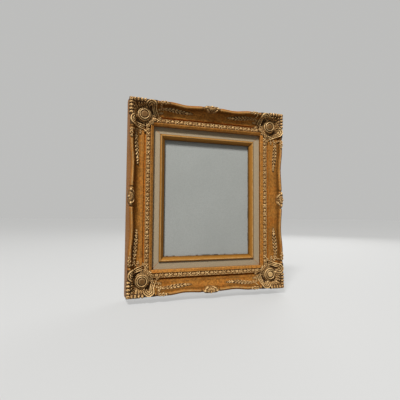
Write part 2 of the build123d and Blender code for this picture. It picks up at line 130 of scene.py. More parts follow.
class FrameMoulding(bpy.types.PropertyGroup):
    """Sizes of the outer moulding"""

    width: length("Width", "From the sight edge to the outer edge", 52)
    rabbet: length("Rabbet", "Width of the lip that rests on the linen", 6)
    sight_edge: length("Sight edge", "Height of the sight edge above the linen", 6.4)
    band_width: length("Sight band", "Width of the sloping band at the sight edge", 6.5)
    band_rise: length("Band rise", "Rise of the sight band", 2.6)
    bead_width: length("Bead seat", "Width of the running ornament's seat", 9)
    bead_seat: length("Seat height", "Height of that seat above the linen", 4.6)
    groove_width: length("Groove width", "Width of the red groove", 4.5)
    groove_depth: length("Groove depth", "Depth of the red groove", 2.8)
    ledge_width: length("Ledge width", "Width of the ledge between groove and cove", 5)
    ledge: length("Ledge height", "Height of that ledge above the linen", 5.6)
    cove_step: length("Cove step", "Bevel at the foot of the cove", 0.4)
    cove_radius: length("Cove radius", "Radius of the cove", 14.5)
    rim_radius: length("Rim radius", "Radius of the rim's roll", 4.2)
    inset_corner: length("Inset at corners", "How far the rim stands in from the edge at the corners", 2.6)
    inset_span: length("Inset between", "How far it stands in between ornaments", 5.6)
    inset_centre: length("Inset at centres", "How far it stands in at the middle of a side", 4.2)
    top_span: length("Height between", "Height of the rim between ornaments", 40.8)
    shoulder: length("Shoulder", "Height where the outer side begins to lean in", 16)
    corner_run: length("Corner run", "Straight run of the rim at each corner", 83)
    centre_run: length("Centre run", "Straight run of the rim at the middle", 34)
    notch: length("Notch", "Depth of the carved notches where the rim meets an ornament", 2)


class FrameOrnament(bpy.types.PropertyGroup):
    """Sizes of the cast ornament"""

    grid: length("Grid", "Spacing of the points that carry the relief", 0.5)
    boss_radius: length("Boss foot", "Radius of a corner's boss at its foot", 15)
    boss_top_radius: length("Boss top", "Radius of a corner's boss at its top", 11)
    boss_foot: length("Foot height", "Height of the boss's foot above the ledge", 2.6)
    boss_rise: length("Boss rise", "Rise of the boss above the ledge", 8.6)
    spray_start: length("Spray start", "From the frame's corner to a spray's root", 71)
    spray_length: length("Spray length", "Length of a leaf spray", 64)
    spray_width: length("Spray width", "Width of a leaf spray", 10.5)
    spray_lean: length("Spray lean", "How far a spray's root leans to the rim, and its tip away", 1.6)
    leaf_pitch: length("Leaf pitch", "Spacing of the running leaves", 19)
    strip_height: length("Strip height", "Height of the strip under the running leaves", 2.8)


class FrameFillet(bpy.types.PropertyGroup):
    """Sizes of the gilt fillet"""

    width: length("Fillet width", "From the picture to the linen", 10)
    crest_from_sight: length("Crest", "From the picture to the fillet's crest", 6.7)
    sight: length("Sight", "Height of the fillet at the picture", 17.7)
    lip: length("Lip", "Height of the lip over the panel", 12.7)
    wall: length("Wall", "From the fillet's outside to the panel's edge", 4.2)
    round: length("Round", "Bulge of the fillet's back", 0.9)
    scoop: length("Scoop", "Hollow of the fillet's face", 0.6)
    proud: length("Proud", "Rise of the fillet above the linen", 0.5)
    dip: length("Dip", "How far its rubbed crest stays under the solid's", 0.9)


class FrameHardware(bpy.types.PropertyGroup):
    """Sizes of the hardware on the back"""

    button_radius: length("Button", "Radius of a turn button's head", 5)
    nose_radius: length("Nose", "Radius of a turn button's nose", 4)
    button_reach: length("Reach", "From a turn button's pivot to its nose", 22)
    hole_radius: length("Hole", "Radius of the screw holes", 1.8)
    screw_radius: length("Screw head", "Radius of a screw head", 3)
    screw_height: length("Screw height", "Height of a screw head", 2)
    strap_length: length("Strap", "From the hinge to a strap's end", 24)
    strap_screw: length("Strap screw", "From the hinge to a strap's screw", 16)
    strap_thickness: length("Strap thickness", "Thickness of a strap", 1.6)
    knuckle_radius: length("Knuckle", "Radius of a strap's knuckle", 2)
    bore_radius: length("Bore", "Radius of a knuckle's bore", 1.08)
    wire_radius: length("Wire", "Radius of a ring's wire", 1)
    ring_width: length("Ring width", "Width of a ring between wire middles", 16)
    ring_reach: length("Ring reach", "From the hinge to the ring's end", 13)
    ring_straight: length("Ring straight", "Straight part of a ring's sides", 4.5)
    bumper_bevel: length("Bumper bevel", "Bevel of a bumper", 1.2)
    nail_first: length("First nail", "From a corner to its first V nail", 15)
    nail_pitch: length("Nail pitch", "Between the V nails of a corner", 18)
    nail_leg: length("Nail leg", "Length of a V nail's leg", 6)
    nail_thickness: length("Nail thickness", "Thickness of a V nail", 0.8)


class FrameFinish(bpy.types.PropertyGroup):
    """Colours of the finishes"""

    gold: colour("Gold", "Gilding on the moulding", (0.40, 0.165, 0.030))
    # Rubbed gilding on ridges, also used as painted highlights on ridges and high relief
    pale_gold: colour("Pale gold", "Rubbed gilding on ridges", (0.84, 0.56, 0.245))
    fillet_gold: colour("Fillet gold", "Gilding of the fillet", (0.385, 0.165, 0.024))
    bole: colour("Bole", "Red clay under the gilding", (0.40, 0.105, 0.008))
    # Dark glaze that the gilding has in its hollows, also used as painted shade in recesses, notches and gaps
    toning: colour("Toning", "Dark glaze in the hollows", (0.022, 0.009, 0.002))
    wash: colour("Wash", "Grey-brown wash on the ornament", (0.19, 0.112, 0.041))
    linen: colour("Linen", "Yarn of the linen", (0.465, 0.365, 0.233))
    panel: colour("Panel", "Priming of the panel", (0.375, 0.385, 0.36))
    wood: colour("Wood", "Bare wood on the back", (0.46, 0.30, 0.15))
    board: colour("Board", "Hardboard of the backing", (0.16, 0.085, 0.038))
    steel: colour("Steel", "Zinc plated hardware", (0.55, 0.55, 0.53))
    rubber: colour("Rubber", "Wall bumpers", (0.025, 0.025, 0.025))


class FrameStage(bpy.types.PropertyGroup):
    """The camera, floor and light"""

    camera_at: bpy.props.FloatVectorProperty(
        name="Camera", description="Place of the camera", default=(-0.2059, -0.6378, -0.0353), size=3,
        subtype="TRANSLATION", unit="LENGTH")
    yaw: angle("Yaw", "Turn of the camera to the right", 16.96)
    pitch: angle("Pitch", "Tilt of the camera upwards", 2.85)
    roll: angle("Roll", "Lean of the camera", -0.42)
    lens: bpy.props.FloatProperty(
        name="Lens", description="Focal length on a 36 mm sensor", default=26.93, unit="CAMERA")
    floor_drop: length("Floor drop", "Gap between the frame and the floor", 10)
    floor: colour("Floor", "Floor and background", (0.60, 0.60, 0.59))


def in_mm(group):
    """The sizes of a property group in millimetres."""
    return SimpleNamespace(**{key: getattr(group, key) / mm for key in group.__annotations__})


def moulding_sizes():
    """The moulding's sizes in millimetres, with the places and heights that follow from them."""
    m = in_mm(bpy.context.scene.frame_moulding)
    m.linen_face = height_of("linen_top")
    m.top_corner = height_of("rail_top")
    m.rabbet_wall = m.width - m.rabbet
    m.band_edge = m.width - m.band_width
    m.seat_edge = m.band_edge - m.bead_width
    m.groove_edge = m.seat_edge - m.groove_width
    m.ledge_edge = m.groove_edge - m.ledge_width
    m.bead_middle = (m.seat_edge + m.band_edge) / 2
    m.sight_top = m.linen_face + m.sight_edge
    m.band_top = m.sight_top + m.band_rise
    m.seat = m.linen_face + m.bead_seat
    m.shelf = m.linen_face + m.ledge
    m.cove_foot = m.shelf - m.cove_step
    m.disc = (m.ledge_edge + m.seat_edge) / 2
    return m


# Places


def half_length(side):
    return half_width if side in LEVEL_SIDES else half_height


def from_edge(side, x, z):
    """How far a place stands in from a side's outer edge, in millimetres."""
    return {"top": half_height - z, "bottom": half_height + z,
            "left": half_width + x, "right": half_width - x}[side]


def inset_half(node, side):
    """Half the length of a side of a smaller rectangle, and how far that side stands in, from a node."""
    low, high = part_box(node)
    along = (high.x if side in LEVEL_SIDES else high.z) / mm
    outer = high if side in ("top", "right") else low
    return along, from_edge(side, outer.x / mm, outer.z / mm)


def on_side(side, along, inward, front):
    """Points of a side, given along it, in from its outer edge and to the front, as places in metres."""
    y = wood_back - front
    if side == "top":
        place = (-along, y, half_height - inward)
    elif side == "bottom":
        place = (along, y, inward - half_height)
    elif side == "left":
        place = (inward - half_width, y, -along)
    else:
        place = (half_width - inward, y, along)
    return np.stack(np.broadcast_arrays(*place), axis=-1) * mm


def in_corner(corner, first, second, front):
    """Points of a corner, given from its tip along the two outer edges and to the front."""
    across, up = CORNERS[corner]
    x = across * (first - half_width)
    z = up * (second - half_height)
    return np.stack(np.broadcast_arrays(x, wood_back - front, z), axis=-1) * mm


def move_to_side(mesh, side):
    """Moves a mesh in metres from a side's own axes to its place."""
    corner = on_side(side, 0.0, 0.0, 0.0)
    axes = [on_side(side, *step) - corner for step in ((1 / mm, 0, 0), (0, 1 / mm, 0), (0, 0, 1 / mm))]
    mesh.transform(Matrix(np.vstack([np.column_stack([*axes, corner]), [0, 0, 0, 1]]).tolist()))


# Meshes


def signed_volume(points, faces):
    """Six times the volume inside a closed mesh, negative where its faces point inwards."""
    total = 0.0
    for face in faces:
        ring = points[list(face)]
        total += np.cross(ring[1:-1], ring[2:]).sum(axis=0) @ ring[0]
    return total


def make_mesh(name, points, faces, masks=None, uv=None, sharp=40):
    """A closed mesh with outward faces, painted with point attributes and a UV map."""
    points = np.asarray(points, float).reshape(-1, 3)
    faces = [tuple(int(i) for i in face) for face in faces]
    if signed_volume(points, faces) < 0:
        faces = [face[::-1] for face in faces]
    return open_mesh(name, points, faces, masks, uv, sharp)


def open_mesh(name, points, faces, masks=None, uv=None, sharp=40):
    """A mesh of given faces, painted with point attributes and a UV map."""
    mesh = bpy.data.meshes.new(name)
    mesh.from_pydata(points.tolist(), [], faces)
    for key, values in (masks or {}).items():
        layer = mesh.attributes.new(key, "FLOAT", "POINT")
        layer.data.foreach_set("value", np.asarray(values, np.float32).ravel())
    if uv is not None:
        corner_points = np.zeros(len(mesh.loops), np.int32)
        mesh.loops.foreach_get("vertex_index", corner_points)
        layer = mesh.uv_layers.new(name="UVMap")
        layer.data.foreach_set("uv", np.asarray(uv, np.float32).reshape(-1, 2)[corner_points].ravel())
    mesh.shade_smooth()
    mesh.set_sharp_from_angle(angle=math.radians(sharp))
    mesh.update()
    return mesh


def add_piece(name, mesh, material, slot, *nodes, body=ROOT):
    """A piece at the origin that rides on a body and stands for CAD nodes."""
    piece = bpy.data.objects.new(name, mesh)
    bpy.context.scene.collection.objects.link(piece)
    mesh.materials.clear()
    mesh.materials.append(material)
    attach(piece, body)
    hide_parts(*nodes)
    return piece


def dress(node, material):
    """A CAD node keeps its shape and gets a finish."""
    mesh = frame["nodes"][node].data
    mesh.materials.clear()
    mesh.materials.append(material)


def ring_faces(rows, columns, caps=True, first=0):
    """Faces of closed rings of points that follow one another, with end caps or joined end to end."""
    faces = []
    for row in range(rows - 1 if caps else rows):
        base = first + row * columns
        following = first + (row + 1) % rows * columns
        for i in range(columns):
            j = (i + 1) % columns
            faces.append((base + i, base + j, following + j, following + i))
    if caps:
        faces.append(tuple(first + i for i in range(columns))[::-1])
        faces.append(tuple(first + (rows - 1) * columns + i for i in range(columns)))
    return faces


def joined(*shells):
    """Shells of points and faces put together in one list of each."""
    points, faces, count = [], [], 0
    for shell_points, shell_faces in shells:
        points.append(np.asarray(shell_points, float).reshape(-1, 3))
        faces += [tuple(i + count for i in face) for face in shell_faces]
        count += len(points[-1])
    return np.concatenate(points), faces


def mitred_bar(name, side, node, section, masks=None, stations=2, sharp=40):
    """A section carried along a side of a smaller rectangle and mitred at both ends."""
    half, edge = inset_half(node, side)
    seam_width = 1.1
    seam = seam_width / half
    share = np.concatenate([[-1], np.linspace(seam - 1, 1 - seam, stations - 2), [1]])[:, None]
    along = share * (half - section[:, 0])
    points = on_side(side, along, edge + section[:, 0], section[:, 1])
    steps = np.hypot(*np.diff(section, axis=0).T)
    around = np.broadcast_to(np.concatenate([[0], np.cumsum(steps)]), along.shape)
    uv = np.stack([along, around], axis=-1) * mm
    painted = {key: np.broadcast_to(values, along.shape) for key, values in (masks or {}).items()}
    painted["seam"] = np.broadcast_to(np.abs(share) == 1, along.shape)
    return make_mesh(name, points, ring_faces(stations, len(section)), painted, uv, sharp)


def blur(field, spacing, radius):
    """A field on a grid, smoothed over a radius."""
    reach = max(1, int(2 * radius / spacing))
    offsets = np.arange(-reach, reach + 1) * spacing
    kernel = np.exp(-(offsets / radius) ** 2)
    kernel /= kernel.sum()
    for axis in (0, 1):
        padded = np.pad(field, [(reach, reach) if a == axis else (0, 0) for a in (0, 1)], mode="edge")
        field = sum(
            weight * np.take(padded, np.arange(i, i + field.shape[axis]), axis=axis)
            for i, weight in enumerate(kernel))
    return field


def sample(field, first, second, at_first, at_second):
    """A grid's values between its points."""
    x = np.clip((at_first - first[0]) / (first[1] - first[0]), 0, len(first) - 1.001)
    y = np.clip((at_second - second[0]) / (second[1] - second[0]), 0, len(second) - 1.001)
    i = x.astype(int)
    j = y.astype(int)
    p = x - i
    q = y - j
    low = field[i, j] * (1 - p) + field[i + 1, j] * p
    high = field[i, j + 1] * (1 - p) + field[i + 1, j + 1] * p
    return low * (1 - q) + high * q


def kept_cells(inside):
    """Cells of a grid whose four corners are inside, without cells that meet only at a point."""
    cells = inside[:-1, :-1] & inside[1:, :-1] & inside[:-1, 1:] & inside[1:, 1:]
    while True:
        a, b, c, d = cells[:-1, :-1], cells[1:, 1:], cells[1:, :-1], cells[:-1, 1:]
        pinched = (a & b & ~c & ~d) | (~a & ~b & c & d)
        if not pinched.any():
            return cells
        cells[:-1, :-1] &= ~pinched
        cells[1:, :-1] &= ~pinched


def relief_masks(relief, spacing):
    """Hollows and ridges of a relief, as shares between 0 and 1: hollows and low ground carry painted shade
    and toning, ridges painted highlights and rubbed gilding.
    """
    fine_radius = 1.5
    broad_radius = 3.0
    ground_height = 0.85
    near = blur(relief, spacing, fine_radius)
    wide = blur(relief, spacing, broad_radius)
    hollow = np.clip((near - relief) / 0.5, 0, 1) * 0.75 + np.clip((wide - relief) / 1.1, 0, 1) * 0.65
    ground_shade = 0.9 * np.clip((ground_height - relief) / 0.5, 0, 1)
    ridge = np.clip((relief - near) / 0.65, 0, 1) ** 1.2
    return np.clip(np.maximum(hollow, ground_shade), 0, 1), ridge


def relief_mesh(name, first, second, relief, top, bottom, place, edge=0.12, dull=0.0, bright=0.0, dirt=1.0):
    """A cast piece on a grid: its outline is where the relief meets an edge height, and it is closed
    between a top and a bottom. The hollows and ridges of its relief are painted as attributes:
    painted shade and toning in the hollows, painted highlights and rubbed gilding on the ridges."""
    spacing = first[1] - first[0]
    field = relief - edge
    cells = kept_cells(field > 0)
    used = np.zeros(relief.shape, bool)
    count = np.zeros(relief.shape, int)
    for i, j in ((0, 0), (1, 0), (0, 1), (1, 1)):
        window = (slice(i, i + cells.shape[0]), slice(j, j + cells.shape[1]))
        used[window] |= cells
        count[window] += cells
    grid_first, grid_second = np.meshgrid(first, second, indexing="ij")
    slope_first, slope_second = np.gradient(field, first, second)
    steep = np.maximum(np.hypot(slope_first, slope_second), 1e-3)
    move = np.clip(field / steep, 0, 0.8 * spacing) / steep
    rim = used & (count < 4)
    at_first = np.where(rim, grid_first - move * slope_first, grid_first)[used]
    at_second = np.where(rim, grid_second - move * slope_second, grid_second)[used]
    upper = sample(top, first, second, at_first, at_second)
    lower = np.minimum(sample(bottom, first, second, at_first, at_second), upper - spacing / 2)
    index = np.full(relief.shape, -1)
    index[used] = np.arange(used.sum())
    total = int(used.sum())
    i, j = np.nonzero(cells)
    quads = np.stack([index[i, j], index[i + 1, j], index[i + 1, j + 1], index[i, j + 1]], axis=1)
    edges = set()
    for quad in quads.tolist():
        for a, b in zip(quad, quad[1:] + quad[:1]):
            if (b, a) in edges:
                edges.remove((b, a))
            else:
                edges.add((a, b))
    walls = [(b, a, a + total, b + total) for a, b in sorted(edges)]
    faces = quads.tolist() + (quads[:, ::-1] + total).tolist() + walls
    points = np.concatenate([place(at_first, at_second, upper), place(at_first, at_second, lower)])
    hollow, ridge = relief_masks(relief, spacing)
    # The hollow share is painted shade and toning, scaled for each piece; dull adds painted shade and bright
    # a painted highlight where asked
    hollow = np.maximum(hollow * dirt, dull)
    ridge = np.maximum(ridge, bright)
    masks = {
        # The bottom and walls of a casting get a share of painted shade
        "hollow": np.concatenate([sample(hollow, first, second, at_first, at_second), np.full(total, 0.6)]),
        "ridge": np.concatenate([sample(ridge, first, second, at_first, at_second), np.zeros(total)]),
    }
    return make_mesh(name, points, faces, masks, sharp=75)


# Relief forms, in millimetres, on grids of points


def dome(x, y, at, radius, height, longer=1.0):
    """A rounded boss, longer along the first axis by a factor."""
    share = ((x - at[0]) / (radius * longer)) ** 2 + ((y - at[1]) / radius) ** 2
    return height * np.sqrt(np.clip(1 - share, 0, None))


def ridge_along(x, y, path, half, height, taper=0.35):
    """A round ridge along a path of points, thinner at its ends."""
    path = np.asarray(path, float)
    steps = np.linalg.norm(np.diff(path, axis=0), axis=1)
    reached = np.concatenate([[0], np.cumsum(steps)]) / steps.sum()
    best = np.full(x.shape, 1e9)
    where = np.zeros(x.shape)
    for start, end, low, high in zip(path, path[1:], reached, reached[1:]):
        way = end - start
        t = np.clip(((x - start[0]) * way[0] + (y - start[1]) * way[1]) / (way @ way), 0, 1)
        gap = np.hypot(x - start[0] - t * way[0], y - start[1] - t * way[1])
        closer = gap < best
        best = np.where(closer, gap, best)
        where = np.where(closer, low + t * (high - low), where)
    full = taper + (1 - taper) * np.sin(np.pi * np.clip(where, 0, 1)) ** 0.7
    return height * full * np.sqrt(np.clip(1 - (best / (half * full)) ** 2, 0, None))


def leaf(x, y, root, tip, width, height, lobes=3, bend=0.0):
    """A carved leaf between two points, with lobes along its edge, a midrib and side veins."""
    way = np.subtract(tip, root)
    size = math.hypot(*way)
    way = way / size
    t = ((x - root[0]) * way[0] + (y - root[1]) * way[1]) / size
    t_in = np.clip(t, 0, 1)
    off = (y - root[1]) * way[0] - (x - root[0]) * way[1] - bend * 4 * t_in * (1 - t_in)
    outline = np.sin(np.pi * np.clip(0.12 + 0.88 * t_in, 0, 1)) ** 0.8
    notch = 1 - 0.38 * np.abs(np.cos(np.pi * lobes * t_in)) ** 3 if lobes else 1.0
    half = np.maximum(width / 2 * outline * notch, 1e-3)
    q = np.abs(off) / half
    body = np.clip(1 - q ** 2, 0, None) ** 0.55
    rib = np.exp(-(off / (0.10 * width)) ** 2)
    veins = np.cos(2 * np.pi * (lobes * t_in - 0.55 * q)) if lobes else 0.0
    swell = 0.62 + 0.38 * np.sin(np.pi * t_in)
    shape = height * body * swell * (0.84 + 0.16 * veins) - 0.40 * height * rib * body
    return np.where((t > 0) & (t < 1) & (q < 1), np.maximum(shape, 0), 0.0)


def arc_path(centre, radius, start, end, steps=20):
    """Points on a circle between two angles in degrees."""
    turn = np.radians(np.linspace(start, end, steps))
    return np.stack([centre[0] + radius * np.cos(turn), centre[1] + radius * np.sin(turn)], axis=1)


def union(*forms):
    return np.maximum.reduce(forms)


def soft_step(value, width):
    """Rises from 0 to 1 over a width, steeply at first."""
    return np.clip(value / width, 0, 1) ** 0.5


# The moulding's section


def rim_and_cove(m, inset, top):
    """Centres of the rim's roll and of the cove, and the cove's two end angles."""
    rim = np.array([inset + m.rim_radius, top - m.rim_radius])
    foot = np.array([m.ledge_edge, m.cove_foot])
    gap = foot - rim
    size = np.hypot(*gap)
    reach = m.rim_radius + m.cove_radius
    along = (reach ** 2 - m.cove_radius ** 2 + size ** 2) / (2 * size)
    rise = math.sqrt(reach ** 2 - along ** 2)
    way = gap / size
    cove = rim + way * along + np.array([-way[1], way[0]]) * rise
    join = math.atan2(rim[1] - cove[1], rim[0] - cove[0]) % (2 * math.pi)
    end = math.atan2(foot[1] - cove[1], foot[0] - cove[0]) % (2 * math.pi)
    return rim, cove, join, end


def rim_at(m, along, half):
    """The rim's inset and height at a place along a side."""
    start = m.centre_run / 2
    share = np.clip((abs(along) - start) / (half - m.corner_run - start), 0, 1)
    near_centre = (1 + math.cos(math.pi * min(2 * share, 1))) / 2
    near_corner = (1 + math.cos(math.pi * min(2 - 2 * share, 1))) / 2
    inset = m.inset_span + (m.inset_centre - m.inset_span) * near_centre
    inset += (m.inset_corner - m.inset_span) * near_corner
    top = m.top_span + (m.top_corner - m.top_span) * (near_centre + near_corner)
    return inset, top


def notch_at(m, along, half):
    """The share of the rim's carved notches at a place along a side: beside the corners and the middle."""
    past_disc = 29.5
    past_centre = 2.0
    reach = 1.7
    spots = (half - m.disc - past_disc, m.centre_run / 2 + past_centre)
    return max(math.exp(-((abs(along) - spot) / reach) ** 2) for spot in spots)


def three_point_arc(start, low, end, steps):
    """Points on the circle through three points."""
    a, b, c = (complex(*p) for p in (start, low, end))
    w = (c - a) / (b - a)
    centre = (b - a) * (w - abs(w) ** 2) / (2j * w.imag) + a
    first = a - centre
    turn = np.angle((c - centre) / first)
    if turn * np.angle((b - centre) / first) < 0:
        turn -= math.copysign(2 * math.pi, turn)
    spots = centre + first * np.exp(1j * turn * np.linspace(0, 1, steps))
    return np.stack([spots.real, spots.imag], axis=1)


def line(start, end, steps):
    """Points on a straight stretch, without its end."""
    share = np.linspace(0, 1, steps + 1)[:-1, None]
    return np.asarray(start) * (1 - share) + np.asarray(end) * share


# Rail masks: red clay, hollows (painted shade and toning), ridges (painted highlights and rubbed gilding),
# bare wood and dust
RAIL_MASKS = ("bole", "hollow", "ridge", "bare", "dust")


def moulding_profile(m, inset, top):
    """The section's points and their painted masks, in the order of the rail masks."""
    rim, cove, join, end = rim_and_cove(m, inset, top)
    parts = []

    def add(points, bole=0.0, hollow=0.0, ridge=0.0, bare=0.0, dust=0.0):
        columns = [np.broadcast_to(value, len(points)) for value in (bole, hollow, ridge, bare, dust)]
        parts.append(np.column_stack([points, *columns]))

    outer = rim - np.array([m.rim_radius, 0])
    add(line((0, 0), (0, m.shoulder), 5), bole=0.5, dust=1.0)
    add(line((0, m.shoulder), outer, 8), bole=np.linspace(0.5, 0.4, 8), dust=np.linspace(1.0, 0.8, 8))
    roll = np.linspace(math.pi, join - math.pi, 24)
    # A painted highlight along the rim's crest, and painted shade under the roll on its inner side
    crest = np.exp(-((roll - 0.46 * math.pi) / 0.24) ** 2)
    outside = np.clip((roll / math.pi - 0.52) / 0.3, 0, 1)
    shaded = np.clip((0.35 * math.pi - roll) / (0.35 * math.pi), 0, 1)
    add(rim + m.rim_radius * np.stack([np.cos(roll), np.sin(roll)], axis=1),
        bole=0.4 * outside, hollow=np.maximum(0.85 * shaded, 0.25 * outside), ridge=crest,
        dust=0.8 * outside)
    sweep = np.linspace(join, end, 22)[1:]
    share = np.linspace(0, 1, 21)
    # Painted shade in the cove, darkest under the rim
    add(cove + m.cove_radius * np.stack([np.cos(sweep), np.sin(sweep)], axis=1),
        hollow=0.75 * (1 - share) ** 2)
    # Painted highlights on the cove's step and the ledge's edge
    add(line((m.ledge_edge + m.cove_step * 0.2, m.cove_foot + m.cove_step * 0.5),
             (m.ledge_edge + m.cove_step, m.shelf), 2), ridge=0.3)
    add(line((m.ledge_edge + m.cove_step, m.shelf), (m.groove_edge, m.shelf), 5),
        ridge=np.array([0.3, 0.1, 0, 0, 0.1]))
    low = ((m.groove_edge + m.seat_edge) / 2, m.shelf - m.groove_depth)
    add(three_point_arc((m.groove_edge, m.shelf), low, (m.seat_edge, m.seat), 12),
        bole=0.65 * np.sin(np.linspace(0.3, math.pi - 0.3, 12)))
    # Painted shade on the seat and at the foot of the band, under the running strip
    add(line((m.seat_edge, m.seat), (m.band_edge, m.seat), 4)[1:], hollow=0.6)
    add(line((m.band_edge, m.seat), (m.band_edge, m.band_top), 3), hollow=np.array([0.7, 0.4, 0.1]))
    # Painted highlights on the band's crown and the sight edge's arris, and faint painted shade across the
    # band
    crown = np.array([[m.band_edge + 0.2, m.band_top - 0.25], [m.band_edge + 0.8, m.band_top + 0.02]])
    add(crown, ridge=0.3)
    face = line((m.band_edge + 1.6, m.band_top - 0.08), (m.width - 1.2, m.sight_top + 0.75), 6)
    add(face, hollow=np.array([0, 0, 0.05, 0.1, 0.1, 0.05]))
    add(np.array([[m.width - 0.7, m.sight_top + 0.42], [m.width - 0.12, m.sight_top - 0.1]]), ridge=0.25)
    # The sight edge darker towards the linen: red clay with painted shade
    add(line((m.width, m.sight_top - 0.8), (m.width, m.linen_face), 4), bole=np.linspace(0.1, 0.5, 4),
        hollow=np.linspace(0.1, 0.9, 4))
    add(line((m.width, m.linen_face), (m.rabbet_wall, m.linen_face), 2), bare=1.0)
    add(line((m.rabbet_wall, m.linen_face), (m.rabbet_wall, 0), 3), bare=1.0)
    add(line((m.rabbet_wall, 0), (0, 0), 6), bare=1.0)
    return np.concatenate(parts)


def rail_mesh(m, side):
    """A rail swept through its scallops and notches, and mitred at both ends."""
    half = half_length(side)
    inner = half - m.width
    row_spacing = 1.4
    end_rows = 24
    hollow = 2 + RAIL_MASKS.index("hollow")
    middle = np.linspace(-inner, inner, int(2 * inner / row_spacing))
    ends = np.linspace(0, 1, end_rows)[1:]
    rows = [(-1, f) for f in ends[::-1]] + [(0, s) for s in middle] + [(1, f) for f in ends]
    points, uv, masks = [], [], []
    for end, value in rows:
        spot = value if end == 0 else end * (inner + value * m.width)
        inset, top = rim_at(m, spot, half)
        dip = notch_at(m, spot, half)
        section = moulding_profile(m, inset, top - m.notch * dip)
        inward, front = section[:, 0], section[:, 1]
        along = np.full(len(section), spot)
        if end:
            along = end * (inner + value * (m.width - inward))
        points.append(on_side(side, along, inward, front))
        around = np.concatenate([[0], np.cumsum(np.hypot(np.diff(inward), np.diff(front)))])
        uv.append(np.stack([along, around], axis=1) * mm)
        # Painted shade in the rim's carved notches
        on_rim = (inward < inset + 2 * m.rim_radius) & (front > top - m.rim_radius - 1)
        section[on_rim, hollow] = np.maximum(section[on_rim, hollow], 0.8 * dip)
        masks.append(section[:, 2:])
    masks = np.concatenate(masks)
    painted = {key: masks[:, i] for i, key in enumerate(RAIL_MASKS)}
    faces = ring_faces(len(rows), len(points[0]))
    return make_mesh("rail_" + side, np.concatenate(points), faces, painted, np.concatenate(uv), 32)


class FRAME_OT_rails(bpy.types.Operator):
    """The swept and mitred rails of the moulding"""

    bl_idname = "frame.rails"
    bl_label = "Rails"

    def execute(self, context):
        m = moulding_sizes()
        for side in SIDES:
            node = "rail_" + side
            add_piece(node + "_gilded", rail_mesh(m, side), gilded_moulding(), "gilded_moulding", node)
        return {"FINISHED"}


# The bed that cast ornament lies on

# Share of the grid's spacing that the small castings use
FINE_GRID = 0.8


def bed(m, inset, top, inward, lift):
    """The height of the moulding's top, lifted by a thickness, without its groove and bead."""
    rim, cove, join, _ = rim_and_cove(m, inset, top)
    lift = np.maximum(lift, 0)
    bead_rise = 4.0
    roll = m.rim_radius + lift
    lean = (rim[1] - m.shoulder) / inset
    left = rim[0] - roll
    on_roll = rim[1] + np.sqrt(np.clip(roll ** 2 - (inward - rim[0]) ** 2, 0, None))
    on_lean = rim[1] - (left - inward) * lean
    hollow = np.maximum(m.cove_radius - lift, 1.0)
    on_cove = cove[1] - np.sqrt(np.clip(hollow ** 2 - (inward - cove[0]) ** 2, 0, None))
    flat = np.interp(
        inward, [m.ledge_edge, m.groove_edge, m.bead_middle, m.band_edge, m.width],
        [m.shelf, m.shelf, m.seat + bead_rise, m.band_top, m.sight_top]) + lift
    join_at = rim[0] - roll * math.cos(join)
    height = np.where(inward < left, on_lean, on_roll)
    height = np.where(inward > join_at, np.where(inward < cove[0], on_cove, flat), height)
    return np.where(inward >= m.ledge_edge, flat, height)


def wood_top(m, inset, top, inward):
    """The height of the bare moulding at a place across it."""
    section = moulding_profile(m, inset, top)
    low = int(np.argmax(section[:, 0] >= m.width - 0.2))
    return np.interp(inward, np.maximum.accumulate(section[:low, 0]), section[:low, 1])


def cast_surfaces(m, inset, top, inward, relief, limit, overhang):
    """The top and bottom of a casting that laps over the rim's outer side."""
    sunk = 0.2
    lap_depth = 6.0
    least = 0.5
    outer_inset = inset - overhang
    lift = relief - sunk
    upper = np.maximum(bed(m, inset, top, inward, lift), np.where(
        inward < inset + m.rim_radius, bed(m, outer_inset, top, inward, lift), 0))
    upper = np.minimum(upper, limit)
    lap = top - m.rim_radius - lap_depth
    lower = wood_top(m, inset, top, inward) - least
    lower = np.where(inward < inset + 1, np.maximum(lower, lap), lower)
    return upper, np.minimum(lower, upper - least)


# Corner ornament


DISC_RADIUS = 6.5
DISC_FACE = 5.8
# Rings of a corner's boss: radius, half width and height
BOSS_RINGS = ((9.3, 1.0, 2.0), (12.6, 0.9, 1.7), (15.4, 0.8, 1.6))
# Ribs of a corner's scroll, from the outermost: radius, half width and height
SCROLL_RIBS = ((10.4, 1.9, 3.9), (6.7, 1.3, 3.1), (3.5, 1.3, 3.3))
# Leaves of a corner about its disc: root, tip, width, height, lobes and bend
CORNER_LEAVES = (
    ((27.4, -12.4), (38.0, -17.4), 5.4, 3.2, 2, 0.8),
    ((28.6, -6.6), (41.0, -7.4), 6.2, 3.4, 3, -0.7),
    ((28.0, 1.0), (36.2, 3.2), 5.6, 3.0, 2, 0.8),
    ((40.2, -12.2), (29.8, -22.6), 5.4, 2.8, 2, 0.0),
    ((14.8, 3.6), (27.8, 7.4), 5.4, 2.9, 3, 0.5),
    ((11.6, 10.4), (25.8, 9.8), 6.6, 3.1, 3, 0.0),
)
TOOLING_PITCH = 3.9
TOOLING_RAYS = 24
TOOLING_DEPTH = 0.55


